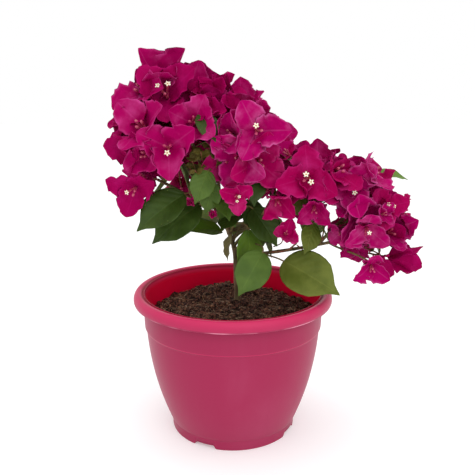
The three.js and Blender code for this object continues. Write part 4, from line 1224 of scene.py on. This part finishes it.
# %% Small heads
# A small head's size on average and its bounds, the room it needs and the tries per head
SMALL_SIZE, SMALL_SIZES, SMALL_ROOM, SMALL_TRIES = 0.75, (0.6, 0.9), 11, 4
CLEARING, CLEARING_REACH = np.array([-32, -55, 280]), 26    # where young leaves show, no flowers


def small_heads(spray, count):
    """Finer side twigs end in smaller heads, wherever the crown still has room for one."""
    for k in range(count):
        seed = spray.seed + 0.07 * k + 50
        out = aside(spray.aim, chance(seed, 1) * 2 * math.pi)
        root = spray.lead + out * drawn(12, 30, seed, 2) - spray.aim * drawn(2, 24, seed, 3)
        root[2] = max(root[2], spray.lead[2] - 5)
        in_clearing = np.linalg.norm(root - CLEARING) < CLEARING_REACH
        tip = root + out * SMALL_SIZE * BRACT_LENGTH
        if room_at(root) > SMALL_ROOM and in_crown(tip) and not in_clearing:
            on_stalk(spray.stem, drawn(0.5, 0.8, seed, 4), root)
            facing = unit(spray.aim + out * 0.9 + UP * 0.3)
            flower_head(spray, seed, root, facing, spray.size * drawn(*SMALL_SIZES, seed, 5))


# %% [markdown]
# ## Leafy shoots
# The large leaves under the crown show one by one in the photo, so each is placed by its base
# and its tip. Shoots come first, as in the solids, because they take the room next to the
# boughs' tips.

# %% Shoot table
PLACED_TRIES, PLACED_STEP = 12, 2
# Name, carrier, share along it, the way leaves face, leaves by rule, tone, bases and tips
SHOOTS = [
    ("shoot_front", "trunk", 0.78, (0.7, -0.7, 0.1), 0, 3, [((15, -18, 209), (12, -34, 157))]),
    ("shoot_front_low", "trunk", 0.56, (0.1, -0.9, 0.4), 0, 1, [((28, -35, 191), (5, -60, 156))]),
    ("shoot_right", "trunk", 0.46, (0.1, -0.9, 0.4), 0, 2, [((50, -22, 179), (99, -60, 157))]),
    ("shoot_left", "trunk", 0.87, (-0.2, -0.8, 0.6), 1, 0,
     [((-31, -35, 237), (-74, -50, 203)), ((-44, -45, 248), (-86, -60, 217))]),
    ("shoot_centre", "trunk", 0.73, (0.2, -0.9, 0.3), 3, 0, [((17, -6, 226), (40, -20, 192))]),
    ("shoot_crown", "trunk", 0.94, (0.1, -0.9, 0.4), 3, 1,
     [((-22, -50, 270), (-33, -66, 243)), ((-17, -40, 258), (-25, -44, 230)),
      ((-8, -40, 263), (14, -42, 267))]),
    ("shoot_left_small", "trunk", 0.82, (0, -0.5, 0.9), 0, 3, [((-12, -6, 206), (-45, -26, 210))]),
    ("shoot_back", "trunk", 0.72, (0, 0.7, 0.7), 2, 1, [((-18, 34, 216), (-36, 62, 190))]),
    ("shoot_back_right", "trunk", 0.63, (0.2, 0.7, 0.7), 3, 3, [((26, 38, 212), (52, 60, 188))]),
    ("shoot_right_mid", "bough_right_mid", None, (0.4, -0.8, 0.3), 1, 2,
     [((77, -20, 216), (67, -38, 190)), ((67, -30, 243), (54, -34, 226))]),
    ("shoot_far_right", "bough_right_fork", None, (0, -0.3, 0.9), 0, 3,
     [((144, 5, 260), (174, 10, 254))]),
]


def placed_leaf(corners, base, tip, facing):
    """A leaf from base to tip, moved the way it faces until it found room."""
    shifts = [facing * PLACED_STEP * tries for tries in range(PLACED_TRIES)]
    shift = shifts[taken([tip + shift for shift in shifts], corners, PLACED_WITHIN) or 0]
    root = base + shift
    chord = tip + shift - root
    return root, unit(chord), np.linalg.norm(chord)


# %% Shoots grow
for seed, (name, carrier, along, face, more, tone, ends) in enumerate(SHOOTS, start=100):
    facing, corners = unit(face), corners_of(name)
    placed = [placed_leaf(corners, base, tip, facing) for base, tip in ends]
    grow_stem(name, carrier, along, placed[0][0], placed[0][1])
    for k, (root, chord, length) in enumerate(placed):
        leaf_blade(seed + 0.3 * k, root - chord, chord, facing, length + 1, tone)
        if k:
            foot = limbs[name].at(0.6)
            stalk(foot, (foot + root) / 2 + UP * 4, root)
    for k in range(1, more + 1):
        leaf_on_stem(corners, seed + 0.01 * k, limbs[name])
print(f"{len(SHOOTS)} shoots with {len(leaves.points)} leaves")

# %% Stems, heads and leaves of the sprays
LOBE_EDGE = 45                  # sprays right of this belong to the longer bough's lobe
sprays = []
for name, carrier, place, aim, *_ in SPRAYS:
    grow_stem(name, carrier, STEM_ALONG.get(name), np.array(place, float), unit(aim))
for seed, (name, _, place, aim, heads, leaf_count, traits) in enumerate(SPRAYS, start=1):
    cluster, lead = bracts[place[0] > LOBE_EDGE], np.array(place, float)
    spray = Spray(name, seed, cluster, lead, unit(aim), traits.get("size", 1))
    own = {trait: value for trait, value in traits.items() if trait != "beside"}
    flower_head(spray, seed, lead, spray.aim, is_lead=True, **own)
    more_heads(spray, heads, traits.get("beside"))
    for k in range(1, leaf_count + 1):
        leaf_on_stem(spray.corners, seed + 0.01 * k, spray.stem)
    sprays.append((spray, SMALL_TRIES * (heads - 1)))
for spray, count in sprays:
    small_heads(spray, count)
print(f"{len(head_roots)} heads, {len(leaves.points)} leaves")

# %% [markdown]
# ## Fine twigs and young growth
# Under and between the flowers the photo shows what the masses are too coarse for: bare twigs
# that once carried flowers, buds, and young brownish leaves in the middle of the crown.

# %% Tables of fine growth
# The twig's way, its radius and, where it has leaves, their number and length
SPRIGS = [
    ([(-17, -8, 236), (-24, -30, 262), (-28, -52, 288)], 0.9, 9, 15),
    ([(-20, -12, 244), (-30, -34, 262), (-37, -50, 282)], 0.8, 8, 14),
    ([(-17, -14, 250), (-19, -34, 272), (-21, -47, 298)], 0.8, 6, 12),
    ([(-24, -28, 256), (-29, -46, 264), (-33, -58, 272)], 0.7, 5, 11),
    ([(-16, -16, 248), (-16, -34, 262), (-13, -47, 282)], 0.7, 5, 11),
    ([(-38, -25, 247), (-58, -30, 246), (-76, -32, 243)], 0.8),
    ([(7, -20, 254), (16, -25, 253), (28, -30, 246)], 0.8),
    ([(62, -20, 197), (52, -21, 190), (36, -20, 188)], 0.9),
    ([(62, -20, 195), (68, -20, 190), (73, -20, 186)], 0.7),
    ([(86, -20, 200), (88, -20, 212), (91, -20, 226)], 0.8),
    ([(96, -20, 201), (102, -22, 210), (111, -22, 216)], 0.8, 1, 9),
    ([(100, -20, 201), (124, -22, 194), (145, -22, 184), (153, -22, 170)], 1.0),
    ([(104, -22, 200), (116, -26, 199), (132, -26, 191)], 0.6, 2, 7),
    ([(110, -24, 197), (120, -26, 193), (130, -28, 196)], 0.6, 2, 7),
    ([(84, -12, 268), (85, -11, 282), (85, -10, 294)], 0.6),
]
# The twig's way, the way its little head faces, the head's size and how far it leans open
BUDS = [
    ([(-22, -20, 240), (-30, -36, 244), (-36, -45, 243)], (-0.3, -0.8, 0), 0.34, 0.3),
    ([(-14, -20, 230), (-16, -36, 234), (-18, -45, 232)], (0, -0.8, -0.2), 0.28, 0.3),
    ([(40, -14, 192), (46, -32, 200), (48, -45, 211)], (0.2, -0.8, 0.5), 0.5, 0.9),
]
# Base and tip of a leaf, the way it faces and its tone
SINGLE_LEAVES = [
    ((-1, -4, 202), (-5, -8, 175), (-0.9, -0.35, 0.2), YOUNG),
    ((14, -8, 238), (26, -8, 203), (0.3, -0.9, 0.3), 0),
    ((-12, -16, 235), (3, -20, 212), (0.1, -0.9, 0.4), 1),
    ((-28, -54, 321), (-14, -66, 297), (0.3, -0.9, 0.3), 0),
]
SPRIG_FACE = np.array([0.1, -0.9, 0.6])     # the way a twig's leaves face
SPRIG_BARE = 0.3                # the share of a twig that has no leaves


# %% Fine growth


def sprig(seed, ways, radius, count=0, length=0):
    """A fine twig through its points. Leaves stand in turn along its outer part."""
    twig = Path(passing(ways))
    twigs.add(*bar(twig, tapering(radius, radius * 0.6), sides=6, rows=14), finish=1)
    for k in range(count):
        share = SPRIG_BARE + (1 - SPRIG_BARE) * (k + 1) / count
        foot, way = twig.at(share), twig.way(share)
        out = aside(way, seed + k * GOLDEN_TURN)
        grown = length * drawn(0.6, 1.1, seed, 40 + k)
        leaf_blade(seed + 0.1 * k, foot, unit(out + way * 0.5), SPRIG_FACE + out * 0.3, grown, YOUNG)
    return twig


for seed, row in enumerate(SPRIGS, start=200):
    sprig(seed, *row)
budding = Spray("spray_heart", 220, bracts[False])
for seed, (ways, aim, size, lean) in enumerate(BUDS, start=220):
    twig = sprig(seed, ways, 0.7)
    flower_head(budding, seed, twig.at(1), unit(aim), size, lean=lean, is_lead=True)
for seed, (base, tip, facing, tone) in enumerate(SINGLE_LEAVES, start=240):
    way = np.array(tip, float) - base
    leaf_blade(seed, np.array(base, float), unit(way), np.array(facing), np.linalg.norm(way), tone)
print(f"{len(SPRIGS)} sprigs, {len(BUDS)} buds, {len(SINGLE_LEAVES)} more leaves")

# %% [markdown]
# ## Colours of the plant
# Bracts run from deep crimson in the older sprays to a cooler, paler magenta in the fresh ones,
# so each spray has one of five plain colours. Blotches, the midrib and the margin are paler by
# a mask on the blade's own places: the blotches partly as a painted milky sheen, the margin as a
# painted highlight. The veins are too fine for the mesh and are left to the bump.

# %% Finishes of bracts and leaves


def papery(name, deep, pale):
    """A thin dry bract: matt, paler in blotches, along the midrib and at the margin, with
    side veins and a raised midrib. The blotches are partly its own paler tone and partly a painted
    milky sheen, and the paler margin is a painted highlight."""
    finish = Finish(name, Specular_IOR_Level=0.03)
    along, over = finish.across()
    # The pale blotches are partly the bract's own tone and partly a painted milky sheen
    mottle = finish.noise(60.0, 5.0).smooth(0.46, 0.78)
    midrib = 1 - over.size().smooth(0.0, 0.09)
    # A painted highlight along the margin
    margin = over.size().smooth(0.78, 1.0)
    base = finish.mix(mottle * 0.45 + midrib * 0.15 + margin * 0.4, deep, pale)
    veins = ((along + over.size() * 0.22) * 34).sine()
    relief = veins * 0.3 + midrib + finish.noise(520.0, 3.0) * 0.8
    return finish.surface(base, 0.62 + mottle * 0.12, relief, 0.35, 0.0005)


def leafy(name, deep, pale, gloss):
    """A leaf: a glossy skin with side veins and a sunken midrib, paler along the midrib and at
    the margin."""
    finish = Finish(name, Specular_IOR_Level=0.25)
    along, over = finish.across()
    mottle = finish.noise(60.0, 4.0).smooth(0.35, 0.7)
    midrib = 1 - over.size().smooth(0.02, 0.07)
    margin = over.size().smooth(0.93, 1.0)
    base = finish.mix(mottle * 0.7 + (midrib + margin) * 0.3, deep, pale)
    veins = ((along - over.size() * 0.3) * 42).sine()
    relief = veins * 0.35 - midrib + finish.noise(700.0, 2.0) * 0.4
    return finish.surface(base, gloss + mottle * 0.15, relief, 0.4, 0.0006)


def plain_skin(name, deep, pale, roughness):
    """The skin of stalks and flowers: an even mottle between two colours."""
    finish = Finish(name, Specular_IOR_Level=0.3)
    mottle = finish.noise(300.0, 4.0)
    base = finish.mix(mottle.smooth(0.3, 0.7), deep, pale)
    return finish.surface(base, roughness + mottle * 0.1, mottle, 0.3, 0.0003)


bract_finishes = [
    papery("bract crimson", (160, 0, 77), (194, 44, 126)),
    papery("bract magenta", (162, 0, 86), (206, 76, 150)),
    papery("bract deep", (154, 0, 78), (180, 24, 110)),
    papery("bract cool", (166, 0, 92), (216, 104, 170)),
    papery("bract rose", (164, 0, 82), (208, 72, 140)),
]
leaf_finishes = [
    leafy("leaf dark", (44, 64, 14), (64, 86, 28), 0.45),
    leafy("leaf mid", (66, 92, 26), (88, 114, 44), 0.45),
    leafy("leaf olive", (86, 98, 30), (112, 122, 50), 0.5),
    leafy("leaf fresh", (74, 106, 20), (100, 132, 38), 0.45),
    leafy("leaf young", (84, 74, 26), (112, 106, 44), 0.5),
    leafy("leaf underside", (84, 102, 42), (106, 122, 62), 0.65),
]
flower_finishes = [
    plain_skin("open tube", (176, 40, 90), (196, 96, 104), 0.5),
    plain_skin("closed tube", (168, 20, 84), (206, 110, 130), 0.5),
    plain_skin("star", (246, 232, 206), (255, 248, 232), 0.6),
    plain_skin("throat", (170, 170, 60), (206, 196, 96), 0.6),
]
twig_finishes = [
    plain_skin("stem", (104, 84, 50), (128, 116, 70), 0.6),
    plain_skin("stalk", (112, 92, 52), (140, 70, 60), 0.6),
]
print(f"{len(bpy.data.materials)} finishes so far")

# %% Pieces of the plant
for is_far, name in ((False, "bracts_crown"), (True, "bracts_bough")):
    nodes = [row[0] for row in SPRAYS if (row[2][0] > LOBE_EDGE) == is_far]
    bracts[is_far].piece(name, bract_finishes, "bract", *nodes)
leaves.piece("leaves", leaf_finishes, "leaf", *(row[0] for row in SHOOTS))
flowers.piece("tube_flowers", flower_finishes, "bract")
twigs.piece("stems_and_stalks", twig_finishes, "bark")

# %% [markdown]
# ## Floor
# The bush stands on the white sweep of the light tent. A faint glow of its own keeps the floor
# as white as the world behind it, so that no horizon shows.

# %% Floor
FLOOR_REACH = 6.0
mesh = bpy.data.meshes.new("floor")
edge = FLOOR_REACH * np.array([[-1, -1, 0], [1, -1, 0], [1, 1, 0], [-1, 1, 0]])
mesh.from_pydata(edge.tolist(), [], [(0, 1, 2, 3)])
white = Finish("white sweep", Base_Color=(0.8, 0.8, 0.8, 1), Roughness=0.9, Specular_IOR_Level=0,
               Emission_Color=(1, 1, 1, 1), Emission_Strength=0.3)
mesh.materials.append(white.material)
floor = add_object("floor", mesh)
